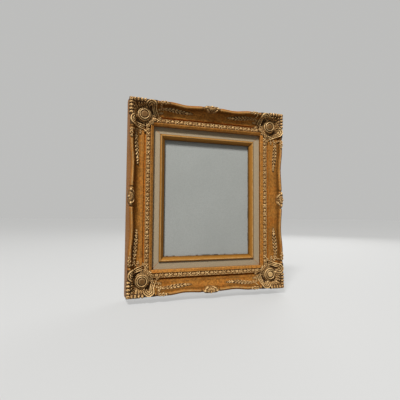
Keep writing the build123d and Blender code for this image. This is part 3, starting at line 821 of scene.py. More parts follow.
def corner_relief(m, a, b):
    """The relief of a corner, from the tip along its two edges. It mirrors about the mitre."""
    d = m.disc
    edge_width = 1.5
    gadroons = 4
    spoke_start = 14.6

    def twice(form):
        return np.maximum(form(a, b), form(b, a))

    def about_disc(along, across):
        return (d + along, d + across)

    def spoke(turn, end, width, height, lobes=0):
        way = np.array([math.cos(turn), math.sin(turn)])
        return leaf(a, b, d + way * spoke_start, d + way * end, width, height, lobes)

    def arm(x, y):
        return (soft_step(15.0 - np.abs(x - d - 10), edge_width)
                * soft_step(13.4 - np.abs(y - d + 15.4), edge_width))

    def scroll(x, y):
        centre = about_disc(13.0, -16.1)
        ribs = []
        for radius, half, height in SCROLL_RIBS:
            inside = SCROLL_RIBS[0][0] - radius
            tail = [about_disc(26.0 - 0.98 * inside, -8.8 + 0.3 * inside),
                    about_disc(29.4 - 0.98 * inside, -0.3 + 0.4 * inside)]
            path = np.concatenate([arc_path(centre, radius, 170, 360, 24), tail])
            ribs.append(ridge_along(x, y, path, half, height, 0.5))
        return union(*ribs, dome(x, y, about_disc(4.0, -14.6), 2.9, 3.7))

    def leaves(x, y):
        on_rim = leaf(x, y, (d + 30.8, 6.4), (d + 53.0, 6.8), 8.6, 3.4, 3)
        return union(on_rim, *(
            leaf(x, y, about_disc(*root), about_disc(*tip), *sizes) for root, tip, *sizes in CORNER_LEAVES))

    skin = soft_step(25.5 - np.hypot(a - d + 2, b - d + 2), edge_width)
    tip = soft_step(25 - np.maximum(a, b), edge_width)
    forms = [0.4 * union(skin, twice(arm), tip) * soft_step(np.minimum(a, b) - 1.3, 1.0)]
    for k in range(-3, 4):
        turn = math.radians(225 + 14 * k)
        far = (d - 9.6) / max(abs(math.cos(turn)), abs(math.sin(turn)))
        forms.append(spoke(turn, far, 4.8, 3.0))
    for k in range(-2, 3):
        forms.append(spoke(math.radians(45 + 23 * k), 23.0, 5.0, 2.8, 2))
    for i in range(gadroons):
        forms.append(twice(lambda x, y: dome(x, y, (12.0 + 6.8 * i, 5.1), 4.2, 2.6 + 0.3 * (i % 2), 0.66)))
    forms.append(dome(a, b, (5.4, 5.4), 4.4, 2.8))
    forms += [twice(scroll), twice(leaves)]
    forms.append(leaf(a, b, about_disc(8.2, 8.2), about_disc(19.4, 19.4), 10.4, 3.6, 3))
    relief = union(*forms)
    rings = np.cos(2 * math.pi * np.hypot(a - d, b - d) / TOOLING_PITCH)
    tooling = rings * np.cos(TOOLING_RAYS * np.arctan2(b - d, a - d))
    return relief + TOOLING_DEPTH * tooling * np.clip(relief - 0.2, 0, 1)


def boss_relief(r):
    """The relief on a corner's boss, by distance from its middle: a disc and its rings."""
    disc = 1.7 * np.clip(1 - (r / DISC_RADIUS) ** 6, 0, None) ** 0.5
    rings = [
        height * np.sqrt(np.clip(1 - ((r - radius) / half) ** 2, 0, None))
        for radius, half, height in BOSS_RINGS]
    return union(disc, *rings)


class FRAME_OT_corner_ornaments(bpy.types.Operator):
    """Cast corners with a disc on a boss, scrolls, a fan, gadroons and leaves"""

    bl_idname = "frame.corner_ornaments"
    bl_label = "Corner Ornaments"

    def execute(self, context):
        m = moulding_sizes()
        o = in_mm(context.scene.frame_ornament)
        edge_margin = 0.8
        reach = 56
        overhang = 1.7
        skirt = 1.5
        boss_skin = 1.2
        grid = np.arange(0.5, m.disc + reach, o.grid)
        a, b = np.meshgrid(grid, grid, indexing="ij")
        inward = np.minimum(a, b)
        relief = np.where(inward > m.width - edge_margin, 0, corner_relief(m, a, b))
        limit = height_of("corner_ornament_top_left")
        top, bottom = cast_surfaces(m, m.inset_corner, m.top_corner, inward, relief, limit, overhang)
        r = np.hypot(a - m.disc, b - m.disc)
        boss = np.interp(r, [o.boss_top_radius, o.boss_radius, o.boss_radius + skirt],
                         [m.shelf + o.boss_rise, m.shelf + o.boss_foot, 0.0])
        face = boss_relief(r)
        raised = boss + face > top
        relief = np.where(raised, boss_skin + face, relief)
        top = np.where(raised, boss + face, top)
        for corner in CORNERS:
            node = "corner_ornament_" + corner

            def place(first, second, front):
                return in_corner(corner, first, second, front)

            # One disc gets a painted highlight, the other discs are painted darker
            disc_highlit = corner == BRIGHT_DISC
            on_disc = r < DISC_FACE
            mesh = relief_mesh(node, grid, grid, relief, top, bottom, place,
                               dull=0.5 * on_disc * (not disc_highlit), bright=0.9 * on_disc * disc_highlit)
            add_piece(node + "_cast", mesh, gilded_ornament(), "gilded_ornament", node)
        return {"FINISHED"}


# Centre ornament


def centre_relief(s, u, crest):
    """A shell on the rim with a scrolled border, about the middle of a side."""
    skin = np.clip((1 - (s / 15.5) ** 2 - ((u - crest + 0.6) / 8.0) ** 2) * 4, 0, 1)
    forms = [0.5 * skin ** 0.5]
    for k in range(-3, 4):
        turn = math.radians(90 + 24 * k)
        reach = 9.8 - 0.5 * abs(k)
        root = (1.6 * math.cos(turn), crest - 4.4)
        tip = (reach * 1.15 * math.cos(turn), crest - 4.4 + reach * abs(math.sin(turn)) + 0.8)
        forms.append(leaf(s, u, root, tip, 3.4, 3.4, 0))
    for side in (-1, 1):
        path = arc_path((0, crest - 1.4), 12.6, 90 - side * 16, 90 - side * 84, 14)
        path[:, 1] = crest - 1.4 + (path[:, 1] - crest + 1.4) * 0.6
        forms.append(ridge_along(s, u, path, 1.2, 2.0, 0.55))
        forms.append(dome(s, u, (side * 11.8, crest - 1.2), 2.6, 3.6))
        forms.append(leaf(s, u, (side * 10.4, crest - 2.0), (side * 16.8, crest - 0.6), 5.4, 2.9, 2))
    forms.append(dome(s, u, (0, crest - 4.2), 2.8, 3.7))
    return union(*forms)


class FRAME_OT_centre_ornaments(bpy.types.Operator):
    """Cast shells on the rim at the middle of each side"""

    bl_idname = "frame.centre_ornaments"
    bl_label = "Centre Ornaments"

    def execute(self, context):
        m = moulding_sizes()
        step = in_mm(context.scene.frame_ornament).grid * FINE_GRID
        reach = 18
        depth = 18.5
        overhang = 2.2
        widening = 0.92
        along = np.arange(-reach, reach + 0.01, step)
        inward = np.arange(0.4, depth, step)
        s, u = np.meshgrid(along, inward, indexing="ij")
        crest = m.inset_centre + m.rim_radius
        relief = centre_relief(s * widening, u, crest) * np.clip((u - 0.7) / 0.8, 0, 1)
        limit = height_of("centre_ornament_top")
        top, bottom = cast_surfaces(m, m.inset_centre, m.top_corner, u, relief, limit, overhang)
        for side in SIDES:
            node = "centre_ornament_" + side

            def place(first, second, front):
                return on_side(side, first, second, front)

            mesh = relief_mesh(node, along, inward, relief, top, bottom, place, dirt=0.6)
            add_piece(node + "_cast", mesh, gilded_ornament(), "gilded_ornament", node)
        return {"FINISHED"}


# Leaf sprays


def spray_relief(t, w, size, width):
    """A spray from its root to its tip: a stem with pairs of leaves, berries and an end bud."""
    stem = np.stack([np.linspace(1.0, size - 6, 24), 0.5 * np.sin(np.linspace(0, 5.5, 24))], axis=1)
    swell = np.sin(math.pi * np.clip(0.14 + 0.78 * t / size, 0, 1)) ** 0.6
    skin = soft_step(0.45 * width * swell - np.abs(w), 0.8) * soft_step(np.minimum(t, size - t), 0.8)
    forms = [0.3 * skin, ridge_along(t, w, stem, 1.0, 1.3, 0.5)]
    pairs = 7
    for i in range(pairs):
        at = 2.5 + i * (size - 20) / (pairs - 1)
        full = math.sin(math.pi * (0.22 + 0.6 * i / (pairs - 1)))
        reach = width * 0.50 * full
        forms.append(dome(t, w, (at + 7.0, 0), 1.6, 2.7))
        for side in (-1, 1):
            tip = (at + 6.2, side * reach)
            forms.append(leaf(t, w, (at, side * 0.3), tip, 3.6 * full + 0.6, 2.8, 0, side * 0.5))
    forms.append(leaf(t, w, (size - 15, 0), (size - 0.5, 0), 6.4, 2.6, 3))
    forms.append(dome(t, w, (size - 14.5, 0), 1.9, 2.5, 1.6))
    forms.append(leaf(t, w, (0.2, 0), (10, 0), 5.4, 2.2, 2))
    return union(*forms)


class FRAME_OT_leaf_sprays(bpy.types.Operator):
    """Leaf sprays that lie in the cove, two on each side"""

    bl_idname = "frame.leaf_sprays"
    bl_label = "Leaf Sprays"

    def execute(self, context):
        m = moulding_sizes()
        o = in_mm(context.scene.frame_ornament)
        step = o.grid * FINE_GRID
        share = np.arange(0, o.spray_length + step, step)
        across = np.arange(-o.spray_width / 2, o.spray_width / 2 + step, step)
        t, w = np.meshgrid(share, across, indexing="ij")
        boldness = 1.35
        sunk = 0.15
        bottom_at = -0.5
        relief = boldness * spray_relief(t, w, o.spray_length, o.spray_width)
        bottom = np.full(t.shape, bottom_at)
        for side in SIDES:
            half = half_length(side)
            for number, turn in ((1, -1), (2, 1)):
                node = "leaf_spray_" + side + "_" + str(number)

                def place(first, second, front):
                    spots = turn * (half - o.spray_start - first)
                    points = []
                    leans = 1 - 2 * first / o.spray_length
                    for spot, offset, lift, lean in zip(spots, second, front, leans):
                        _, cove, join, end = rim_and_cove(m, *rim_at(m, spot, half))
                        middle = (join + end) / 2 - (offset + o.spray_lean * lean) / m.cove_radius
                        reach = m.cove_radius - lift
                        inward = cove[0] + reach * math.cos(middle)
                        points.append((spot, inward, cove[1] + reach * math.sin(middle)))
                    return on_side(side, *np.array(points).T)

                # The highest leaves get a painted highlight
                mesh = relief_mesh(node, share, across, relief, relief - sunk, bottom, place,
                                   bright=np.clip((relief - 1.8) / 0.9, 0, 1))
                add_piece(node + "_cast", mesh, gilded_ornament(), "gilded_ornament", node)
        return {"FINISHED"}


# Running ornament and screws, repeated by node trees


def running_motif(m, o, pitch):
    """One repeat of the running ornament: a leaf tuft, and a berry between leaves, on a low strip."""
    rows, columns = 57, 27
    overlap = 0.3
    half = m.bead_width / 2 + overlap
    s, w = np.meshgrid(np.linspace(0, pitch, rows), np.linspace(-half, half, columns), indexing="ij")
    forms = [dome(s, w, (0.75 * pitch, 0), 1.7, 2.9, 1.3)]
    for lean in (-1, 0, 1):
        tip = ((0.25 + 0.15 * lean) * pitch, 4.2 - 1.3 * abs(lean))
        forms.append(leaf(s, w, (0.25 * pitch, -3.6), tip, 2.8, 3.0, 0))
    for side in (-1, 1):
        for root, end in ((0.55, 0.68), (0.95, 0.82)):
            forms.append(leaf(s, w, (root * pitch, side * 0.4), (end * pitch, side * 4.0), 2.6, 2.6, 0))
    tufts = union(*forms) * np.clip(np.minimum(s, pitch - s) / 0.6, 0, 1)
    edge_bead = 2.2 * np.exp(-((w + half - 1.0) / 0.6) ** 2)
    relief = union(tufts, edge_bead)
    shell = np.sqrt(np.clip(1 - (w / half) ** 2, 0, None)) ** 0.3
    front = np.minimum(m.seat + (o.strip_height + 0.8 * relief) * shell, height_of("running_ornament_top"))
    points = np.stack([s, m.bead_middle + w, front], axis=-1).reshape(-1, 3)
    # Painted shade and toning in the hollows, and painted highlights on the ridges and the highest leaves
    hollow, ridge = relief_masks(relief, pitch / (rows - 1))
    masks = {"hollow": 0.4 * hollow, "ridge": np.maximum(ridge, 0.9 * np.clip((relief - 1.5) / 0.9, 0, 1))}
    return open_mesh("motif", points * mm, ring_faces(rows, columns)[:-2], masks)


def circle(steps):
    """Angles of a full turn, without its end."""
    return np.linspace(0, 2 * math.pi, steps + 1)[:-1]


def screw_head(h):
    """A pan head with a UV map across it, seated at the origin and standing back along +Y."""
    steps = 20
    turn = circle(steps)
    rounds = [(1, 0), (1, 0.45), (0.93, 0.72), (0.72, 0.92), (0.36, 1.0)]
    points = [
        (h.screw_radius * r * np.cos(turn), np.full(steps, h.screw_height * y),
         h.screw_radius * r * np.sin(turn))
        for r, y in rounds]
    points = np.stack(points).transpose(0, 2, 1).reshape(-1, 3) * mm
    return make_mesh("screw head", points, ring_faces(len(rounds), steps), uv=points[:, [0, 2]])


def loose_object(name, mesh):
    """An object that only feeds a node tree and is removed after it."""
    loose = bpy.data.objects.new(name, mesh)
    bpy.context.scene.collection.objects.link(loose)
    return loose


def tree_input(tree, name, kind):
    """A named input of a node tree and the identifier that a modifier sets it by."""
    return tree.interface.new_socket(name, in_out="INPUT", socket_type=kind).identifier


def new_node(tree, kind, **settings):
    node = tree.nodes.new(kind)
    for key, value in settings.items():
        setattr(node, key, value)
    return node


def is_socket(value):
    return isinstance(value, bpy.types.NodeSocket)


def feed(node, values):
    """Links or sets a node's inputs, by name or number, and gives its outputs."""
    for key, value in values.items():
        socket = node.inputs[key]
        if is_socket(value):
            node.id_data.links.new(value, socket)
        else:
            socket.default_value = value
    return node.outputs


def copies_tree(points, keys):
    """Ends a node tree that sets copies of a shape on points: real copies, welded, with a finish."""
    tree = points.id_data
    keys["shape"] = tree_input(tree, "Shape", "NodeSocketObject")
    keys["weld"] = tree_input(tree, "Weld", "NodeSocketFloat")
    keys["finish"] = tree_input(tree, "Finish", "NodeSocketMaterial")
    tree.interface.new_socket("Geometry", in_out="OUTPUT", socket_type="NodeSocketGeometry")
    given = tree.nodes["Group Input"].outputs
    shape = new_node(tree, "GeometryNodeObjectInfo", transform_space="ORIGINAL")
    shape = feed(shape, {"Object": given["Shape"]})
    copies = new_node(tree, "GeometryNodeInstanceOnPoints")
    copies = feed(copies, {"Points": points, "Instance": shape["Geometry"]})
    real = feed(new_node(tree, "GeometryNodeRealizeInstances"), {"Geometry": copies["Instances"]})
    weld = new_node(tree, "GeometryNodeMergeByDistance")
    weld = feed(weld, {"Geometry": real["Geometry"], "Distance": given["Weld"]})
    finish = new_node(tree, "GeometryNodeSetMaterial")
    finish = feed(finish, {"Geometry": weld["Geometry"], "Material": given["Finish"]})
    feed(new_node(tree, "NodeGroupOutput"), {"Geometry": finish["Geometry"]})
    return tree, keys


def row_tree():
    """A node tree that repeats a shape along a straight row."""
    tree = bpy.data.node_groups.new("row", "GeometryNodeTree")
    keys = {
        "count": tree_input(tree, "Count", "NodeSocketInt"),
        "start": tree_input(tree, "Start", "NodeSocketFloat"),
        "pitch": tree_input(tree, "Pitch", "NodeSocketFloat"),
    }
    given = new_node(tree, "NodeGroupInput").outputs
    start = feed(new_node(tree, "ShaderNodeCombineXYZ"), {"X": given["Start"]})
    step = feed(new_node(tree, "ShaderNodeCombineXYZ"), {"X": given["Pitch"]})
    row = feed(new_node(tree, "GeometryNodeMeshLine", mode="OFFSET"), {
        "Count": given["Count"], "Start Location": start["Vector"], "Offset": step["Vector"]})
    return copies_tree(row["Mesh"], keys)


def places_tree():
    """A node tree that sets a shape on the points of the mesh that carries it."""
    tree = bpy.data.node_groups.new("places", "GeometryNodeTree")
    tree_input(tree, "Places", "NodeSocketGeometry")
    given = new_node(tree, "NodeGroupInput")
    return copies_tree(given.outputs["Places"], {})


def grown(tree, keys, places=(), **values):
    """The plain mesh that a node tree makes from its inputs and the points that it is given."""
    mesh = bpy.data.meshes.new("carrier")
    mesh.from_pydata(list(places), [], [])
    carrier = loose_object("carrier", mesh)
    modifier = carrier.modifiers.new("grow", "NODES")
    modifier.node_group = tree
    for key, value in values.items():
        modifier[keys[key]] = value
    depsgraph = bpy.context.evaluated_depsgraph_get()
    result = bpy.data.meshes.new_from_object(carrier.evaluated_get(depsgraph), depsgraph=depsgraph)
    carrier.modifiers.remove(modifier)
    bpy.data.objects.remove(carrier)
    bpy.data.objects.remove(values["shape"])
    return result


def close_ends(mesh):
    """Caps the open loops of a mesh and turns its faces outward."""
    work = bmesh.new()
    work.from_mesh(mesh)
    bmesh.ops.holes_fill(work, edges=[e for e in work.edges if e.is_boundary], sides=0)
    bmesh.ops.recalc_face_normals(work, faces=work.faces)
    work.to_mesh(mesh)
    work.free()
    mesh.set_sharp_from_angle(angle=math.radians(75))


class FRAME_OT_running_ornaments(bpy.types.Operator):
    """Strips of leaves and berries beside the sight edge"""

    bl_idname = "frame.running_ornaments"
    bl_label = "Running Ornaments"

    def execute(self, context):
        m = moulding_sizes()
        o = in_mm(context.scene.frame_ornament)
        tree, keys = row_tree()
        for side in SIDES:
            node = "running_ornament_" + side
            low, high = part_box(node)
            size = max(high.x - low.x, high.z - low.z) / mm
            count = round(size / o.leaf_pitch)
            pitch = size / count
            shape = loose_object("motif", running_motif(m, o, pitch))
            mesh = grown(tree, keys, shape=shape, count=count, start=-size / 2 * mm, pitch=pitch * mm,
                         weld=0.004 * mm, finish=gilded_ornament())
            close_ends(mesh)
            move_to_side(mesh, side)
            add_piece(node + "_cast", mesh, gilded_ornament(), "gilded_ornament", node)
        return {"FINISHED"}


# Linen, liner, fillet and panel


class FRAME_OT_liner(bpy.types.Operator):
    """Linen strips on their wooden liner"""

    bl_idname = "frame.liner"
    bl_label = "Linen Liner"

    def execute(self, context):
        for side in SIDES:
            node = "linen_" + side
            low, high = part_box(node)
            width = min(high.x - low.x, high.z - low.z) / mm
            back, face = depth_of(node), height_of(node)
            soft = 0.35
            flat = width - 1.5
            section = np.concatenate([
                line((0, back), (0, face), 1), line((0, face), (flat, face), 14),
                [(flat, face), (width - 0.5, face - 0.25 * soft), (width, face - soft), (width, back)],
                line((width, back), (0, back), 6)[1:]])
            mesh = mitred_bar(node, side, node, section, stations=61)
            piece = add_piece(node + "_cloth", mesh, linen(), "linen", node)
            dress("liner_" + side, level_wood() if side in LEVEL_SIDES else upright_wood())
        return {"FINISHED"}


class FRAME_OT_fillet(bpy.types.Operator):
    """The gilt fillet round the picture"""

    bl_idname = "frame.fillet"
    bl_label = "Fillet"

    def execute(self, context):
        f = in_mm(context.scene.frame_fillet)
        back = depth_of("fillet_top")
        shoulder = np.array([0, height_of("linen_top") + f.proud])
        crest = np.array([f.width - f.crest_from_sight, height_of("fillet_top") - f.dip])
        sight = np.array([f.width, f.sight])
        rise = self.bulged(shoulder, crest, f.round, 9)
        rise[-1] += (0, -0.1)
        face = self.bulged(crest, sight, -f.scoop, 10)[1:]
        foot = line((0, back), shoulder, 3)
        section = np.concatenate([
            foot, rise, face, line(sight, (f.width, f.lip), 2)[1:],
            [(f.width, f.lip), (f.wall, f.lip), (f.wall, back)]])
        start = len(foot)
        top = start + len(rise) - 1
        masks = {key: np.zeros(len(section)) for key in ("ridge", "hollow", "bare")}
        # A painted highlight on the crest, and painted shade where the fillet meets the linen and on its face
        # towards the picture
        masks["ridge"][top - 2:top + 2] = (0.4, 0.9, 1.0, 0.6)
        masks["hollow"][start:start + 2] = (0.9, 0.4)
        masks["hollow"][top + 5:top + 12] = np.linspace(0.2, 1.0, 7)
        masks["bare"][[0, -2, -1]] = 1.0
        for side in SIDES:
            node = "fillet_" + side
            mesh = mitred_bar(node, side, node, section, masks, 81, 30)
            add_piece(node + "_gilded", mesh, gilt_fillet(), "gilt_fillet", node)
        return {"FINISHED"}

    def bulged(self, start, end, bulge, steps):
        """Points on an arc that stands off its chord to the front by a bulge."""
        middle = (start + end) / 2
        way = (end - start) / np.hypot(*(end - start))
        return three_point_arc(start, middle + np.array([-way[1], way[0]]) * bulge, end, steps)


class FRAME_OT_panel(bpy.types.Operator):
    """The primed panel and the backing board behind it"""

    bl_idname = "frame.panel"
    bl_label = "Panel and Backing"

    def execute(self, context):
        dress("picture_panel", primed_panel())
        dress("backing_board", hardboard())
        return {"FINISHED"}


# Hardware


def add_screws(name, node, seats, h):
    """Screw heads on their seats, as one piece."""
    tree, keys = places_tree()
    shape = loose_object("screw", screw_head(h))
    mesh = grown(tree, keys, places=seats, shape=shape, weld=0.0, finish=steel_screw())
    add_piece(name, mesh, steel_screw(), "steel", node)


def plate(outline, hole_radius, low, high, bevel=0.25):
    """A plate with a round hole at the origin, from an outline that every ray from the hole meets once."""
    steps = 64
    turn = np.linspace(-math.pi, math.pi, steps + 1)[:-1]
    angles = np.arctan2(outline[:, 1], outline[:, 0])
    order = np.argsort(angles)
    reach = np.interp(turn, angles[order], np.hypot(*outline[order].T), period=2 * math.pi)
    hole = np.full(steps, hole_radius)
    rings = [(hole, low), (reach - bevel, low), (reach, low + bevel),
             (reach, high - bevel), (reach - bevel, high), (hole, high)]
    points = [np.stack([r * np.cos(turn), r * np.sin(turn), np.full(steps, v)], axis=1) for r, v in rings]
    return np.stack(points), ring_faces(len(rings), steps, caps=False)


def between(start, end, steps=40):
    """Points on a straight stretch with both ends."""
    return np.linspace(start, end, steps)


class FRAME_OT_turn_buttons(bpy.types.Operator):
    """Turn buttons that hold the backing board, and their screws"""

    bl_idname = "frame.turn_buttons"
    bl_label = "Turn Buttons"

    def execute(self, context):
        h = in_mm(context.scene.frame_hardware)
        outline = self.outline(h)
        seats = []
        for side in SIDES:
            node = "turn_button_" + side
            x, _, z = frame_joint(node)
            low, high = depth_of(node), height_of(node)
            points, faces = plate(outline, h.hole_radius, low, high)
            placed = on_side(side, points[..., 0], from_edge(side, x, z) + points[..., 1], points[..., 2])
            add_piece(node + "_plate", make_mesh(node, placed, faces), steel(), "steel", node, body=node)
            seats.append((x * mm, (wood_back - low) * mm, z * mm))
        add_screws("turn_button_screw_heads", "turn_button_screws", seats, h)
        return {"FINISHED"}

    def outline(self, h):
        """A round end about the hole, straight flanks and a smaller nose."""
        tip = h.button_reach - h.nose_radius
        lean = math.asin((h.button_radius - h.nose_radius) / tip)
        tilt = math.degrees(lean)
        way = np.array([math.cos(lean), math.sin(lean)])
        flank = between(h.button_radius * way, h.nose_radius * way + (0, tip))
        return np.concatenate([
            arc_path((0, 0), h.button_radius, 180 - tilt, 360 + tilt, 60), flank,
            arc_path((0, tip), h.nose_radius, tilt, 180 - tilt, 60), flank[::-1] * (-1, 1)])


def frame_joint(body):
    """The place of the joint that moves a body, in millimetres."""
    for joint in frame["record"]["behaviour"]["joints"]:
        if joint["child"] == body:
            return [c / mm for c in joint["pos_m"]]
    raise ValueError(body)


class FRAME_OT_hangers(bpy.types.Operator):
    """Straps with hinged rings for hanging, and their screws"""

    bl_idname = "frame.hangers"
    bl_label = "Hangers"

    def execute(self, context):
        h = in_mm(context.scene.frame_hardware)
        seats = []
        for side, turn in (("left", -1), ("right", 1)):
            strap_node = "hanger_strap_" + side
            ring_node = "d_ring_" + side
            x, _, z = frame_joint(ring_node)
            along = turn * z
            inward = from_edge(side, x, z)
            shapes = ((strap_node, ROOT, self.strap(h, strap_node)), (ring_node, ring_node, self.ring(h)))
            for node, body, (points, faces) in shapes:
                points = points.reshape(-1, 3)
                placed = on_side(side, along + points[:, 0], inward + points[:, 1], points[:, 2])
                mesh = make_mesh(node, placed, faces, sharp=50)
                add_piece(node + "_metal", mesh, steel(), "steel", node, body=body)
            seats.append(on_side(side, along, inward - h.strap_screw, -h.strap_thickness).tolist())
        add_screws("hanger_screw_heads", "hanger_screws", seats, h)
        return {"FINISHED"}

    def strap(self, h, node):
        """A plate from the hinge outwards with a screw hole, and a bored knuckle on the hinge line."""
        low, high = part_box(node)
        half = (high.z - low.z) / 2 / mm
        end = h.strap_screw - h.strap_length + half
        hinge_line = h.strap_screw
        outline = np.concatenate([
            between((half, end), (half, hinge_line)), between((half, hinge_line), (-half, hinge_line)),
            between((-half, hinge_line), (-half, end)), arc_path((0, end), half, 180, 360, 60)])
        points, faces = plate(outline, h.hole_radius, -h.strap_thickness, 0.0, 0.2)
        points = points - (0, hinge_line, 0)
        steps = 32
        turn = circle(steps)
        rings = [(h.bore_radius, -half), (h.knuckle_radius, -half),
                 (h.knuckle_radius, half), (h.bore_radius, half)]
        tube = np.stack([
            np.stack([np.full(steps, s), r * np.cos(turn), r * np.sin(turn) - h.knuckle_radius], axis=1)
            for r, s in rings])
        return joined((points, faces), (tube, ring_faces(len(rings), steps, caps=False)))

    def ring(self, h):
        """A round wire bent to a D, with its straight bar on the hinge line."""
        half = h.ring_width / 2
        arch = h.ring_reach - h.ring_straight
        turns = np.linspace(0, math.pi, 37)
        curve = np.stack([half * np.cos(turns), h.ring_straight + arch * np.sin(turns)], axis=1)
        bar = between((-half, 0), (half, 0), 13)[1:-1]
        bend = 0.7
        legs = between((half, bend), (half, h.ring_straight), 4)[:-1]
        path = np.concatenate([bar, legs, curve, legs[::-1] * (-1, 1)])
        way = np.roll(path, -1, axis=0) - np.roll(path, 1, axis=0)
        way /= np.linalg.norm(way, axis=1)[:, None]
        out = np.stack([way[:, 1], -way[:, 0]], axis=1)
        steps = 12
        turn = circle(steps)
        plan = path[:, None, :] + h.wire_radius * np.cos(turn)[None, :, None] * out[:, None, :]
        rise = np.broadcast_to(h.wire_radius * np.sin(turn) - h.knuckle_radius, plan.shape[:2])
        return np.concatenate([plan, rise[..., None]], axis=2), ring_faces(len(path), steps, caps=False)


class FRAME_OT_bumpers_and_nails(bpy.types.Operator):
    """Wall bumpers, V nails across the mitres and points that hold the liner"""

    bl_idname = "frame.bumpers_and_nails"
    bl_label = "Bumpers and Nails"

    def execute(self, context):
        h = in_mm(context.scene.frame_hardware)
        steps = 48
        turn = circle(steps)
        for side in ("left", "right"):
            node = "bumper_" + side
            low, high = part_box(node)
            radius = (high.x - low.x) / 2 / mm
            tall = (high.y - low.y) / mm
            x, _, z = middle_of(node)
            rounds = [(radius, 0)] + [
                (radius - h.bumper_bevel * (1 - math.cos(t)), tall - h.bumper_bevel * (1 - math.sin(t)))
                for t in np.linspace(0, math.pi / 2, 6)]
            points = np.stack([
                np.stack([x + r * np.cos(turn), np.full(steps, low.y / mm + v), z + r * np.sin(turn)], axis=1)
                for r, v in rounds]) * mm
            mesh = make_mesh(node, points, ring_faces(len(rounds), steps))
            add_piece(node + "_pad", mesh, rubber(), "rubber", node)
        shells = []
        nails_per_corner = 2
        proud = -0.1
        deep = height_of("corner_v_nails")
        for corner in CORNERS:
            for i in range(nails_per_corner):
                near = h.nail_first + i * h.nail_pitch
                inner = near + h.nail_thickness
                far = near + h.nail_leg
                plan = np.array([
                    (near, near), (far, near), (far, inner), (inner, inner), (inner, far), (near, far)])
                points = np.stack([in_corner(corner, plan[:, 0], plan[:, 1], v) for v in (proud, deep)])
                faces = ring_faces(2, len(plan))
                if np.prod(CORNERS[corner]) > 0:
                    faces = [face[::-1] for face in faces]
                shells.append((points, faces))
        mesh = make_mesh("corner_v_nails", *joined(*shells))
        add_piece("corner_v_nail_edges", mesh, steel(), "steel", "corner_v_nails")
        dress("liner_points", steel())
        return {"FINISHED"}


# Materials


def shader(name):
    """A new material, its node tree and its Principled BSDF."""
    material = bpy.data.materials.new(name)
    material.use_nodes = True
    tree = material.node_tree
    return material, tree, tree.nodes["Principled BSDF"]


def new_group(name, inputs, outputs):
    """A shader node group with named inputs and outputs."""
    group = bpy.data.node_groups.new(name, "ShaderNodeTree")
    for key, kind in inputs.items():
        group.interface.new_socket(key, in_out="INPUT", socket_type=kind)
    for key in outputs:
        group.interface.new_socket(key, in_out="OUTPUT", socket_type="NodeSocketFloat")
    return group, new_node(group, "NodeGroupInput"), new_node(group, "NodeGroupOutput")


def noise(tree, vector, scale, detail=4.0, rough=0.55, distortion=0.0):
    """A noise over a surface, between 0 and 1."""
    values = {
        "Vector": vector, "Scale": scale, "Detail": detail, "Roughness": rough, "Distortion": distortion}
    return feed(new_node(tree, "ShaderNodeTexNoise"), values)["Fac"]


def stretch(tree, vector, scale):
    """A place on a surface, scaled along each axis."""
    return feed(new_node(tree, "ShaderNodeMapping"), {"Vector": vector, "Scale": scale})["Vector"]


def spread(tree, value, low, high, to_low=0.0, to_high=1.0):
    """Maps a range of a value to another, clamped."""
    return feed(new_node(tree, "ShaderNodeMapRange", clamp=True), {
        "Value": value, "From Min": low, "From Max": high, "To Min": to_low, "To Max": to_high})["Result"]


def math_of(tree, kind, first, second=0.0, clamp=True):
    """A math node on two sockets or numbers."""
    node = new_node(tree, "ShaderNodeMath", operation=kind, use_clamp=clamp)
    return feed(node, {0: first, 1: second})["Value"]


def blend(tree, share, first, second):
    """Two colours, each a socket or a value, mixed by a share."""
    node = new_node(tree, "ShaderNodeMix", data_type="RGBA")
    first, second = (value if is_socket(value) else (*value, 1.0) for value in (first, second))
    return feed(node, {"Factor": share, 6: first, 7: second})[2]


def shade(base, share):
    """A colour made darker or lighter."""
    return [min(1.0, c * share) for c in base]


def mask(tree, name):
    return new_node(tree, "ShaderNodeAttribute", attribute_name=name).outputs["Fac"]


def object_place(tree):
    return new_node(tree, "ShaderNodeTexCoord").outputs["Object"]


def uv_place(tree):
    return new_node(tree, "ShaderNodeTexCoord").outputs["UV"]


def coordinates(tree, place):
    """The three coordinates of a place."""
    return feed(new_node(tree, "ShaderNodeSeparateXYZ"), {"Vector": place})


def bump(tree, height, strength, distance):
    return feed(new_node(tree, "ShaderNodeBump"), {
        "Height": height, "Strength": strength, "Distance": distance})["Normal"]


def use_group(tree, group, **values):
    """A node group in a tree, with its inputs linked or set."""
    node = new_node(tree, "ShaderNodeGroup")
    node.node_tree = group
    return feed(node, {key.title(): value for key, value in values.items()})


def worn_gilding(tree, rub, dirt):
    """The wear of gilding, with painted highlights on ridges and painted shade in hollows, on a piece that is
    painted with ridges and hollows.
    """
    return use_group(tree, wear_group(), place=object_place(tree), ridge=mask(tree, "ridge"),
                     hollow=mask(tree, "hollow"), rub=rub, dirt=dirt)


def bare_timber(tree, place, light, dark):
    """The colour of bare wood with its grain along the first axis, and the height of its pores."""
    grain = use_group(tree, wood_group(), place=place)
    wood = finish_colours().wood
    return blend(tree, grain["Share"], shade(wood, light), shade(wood, dark)), grain["Height"]


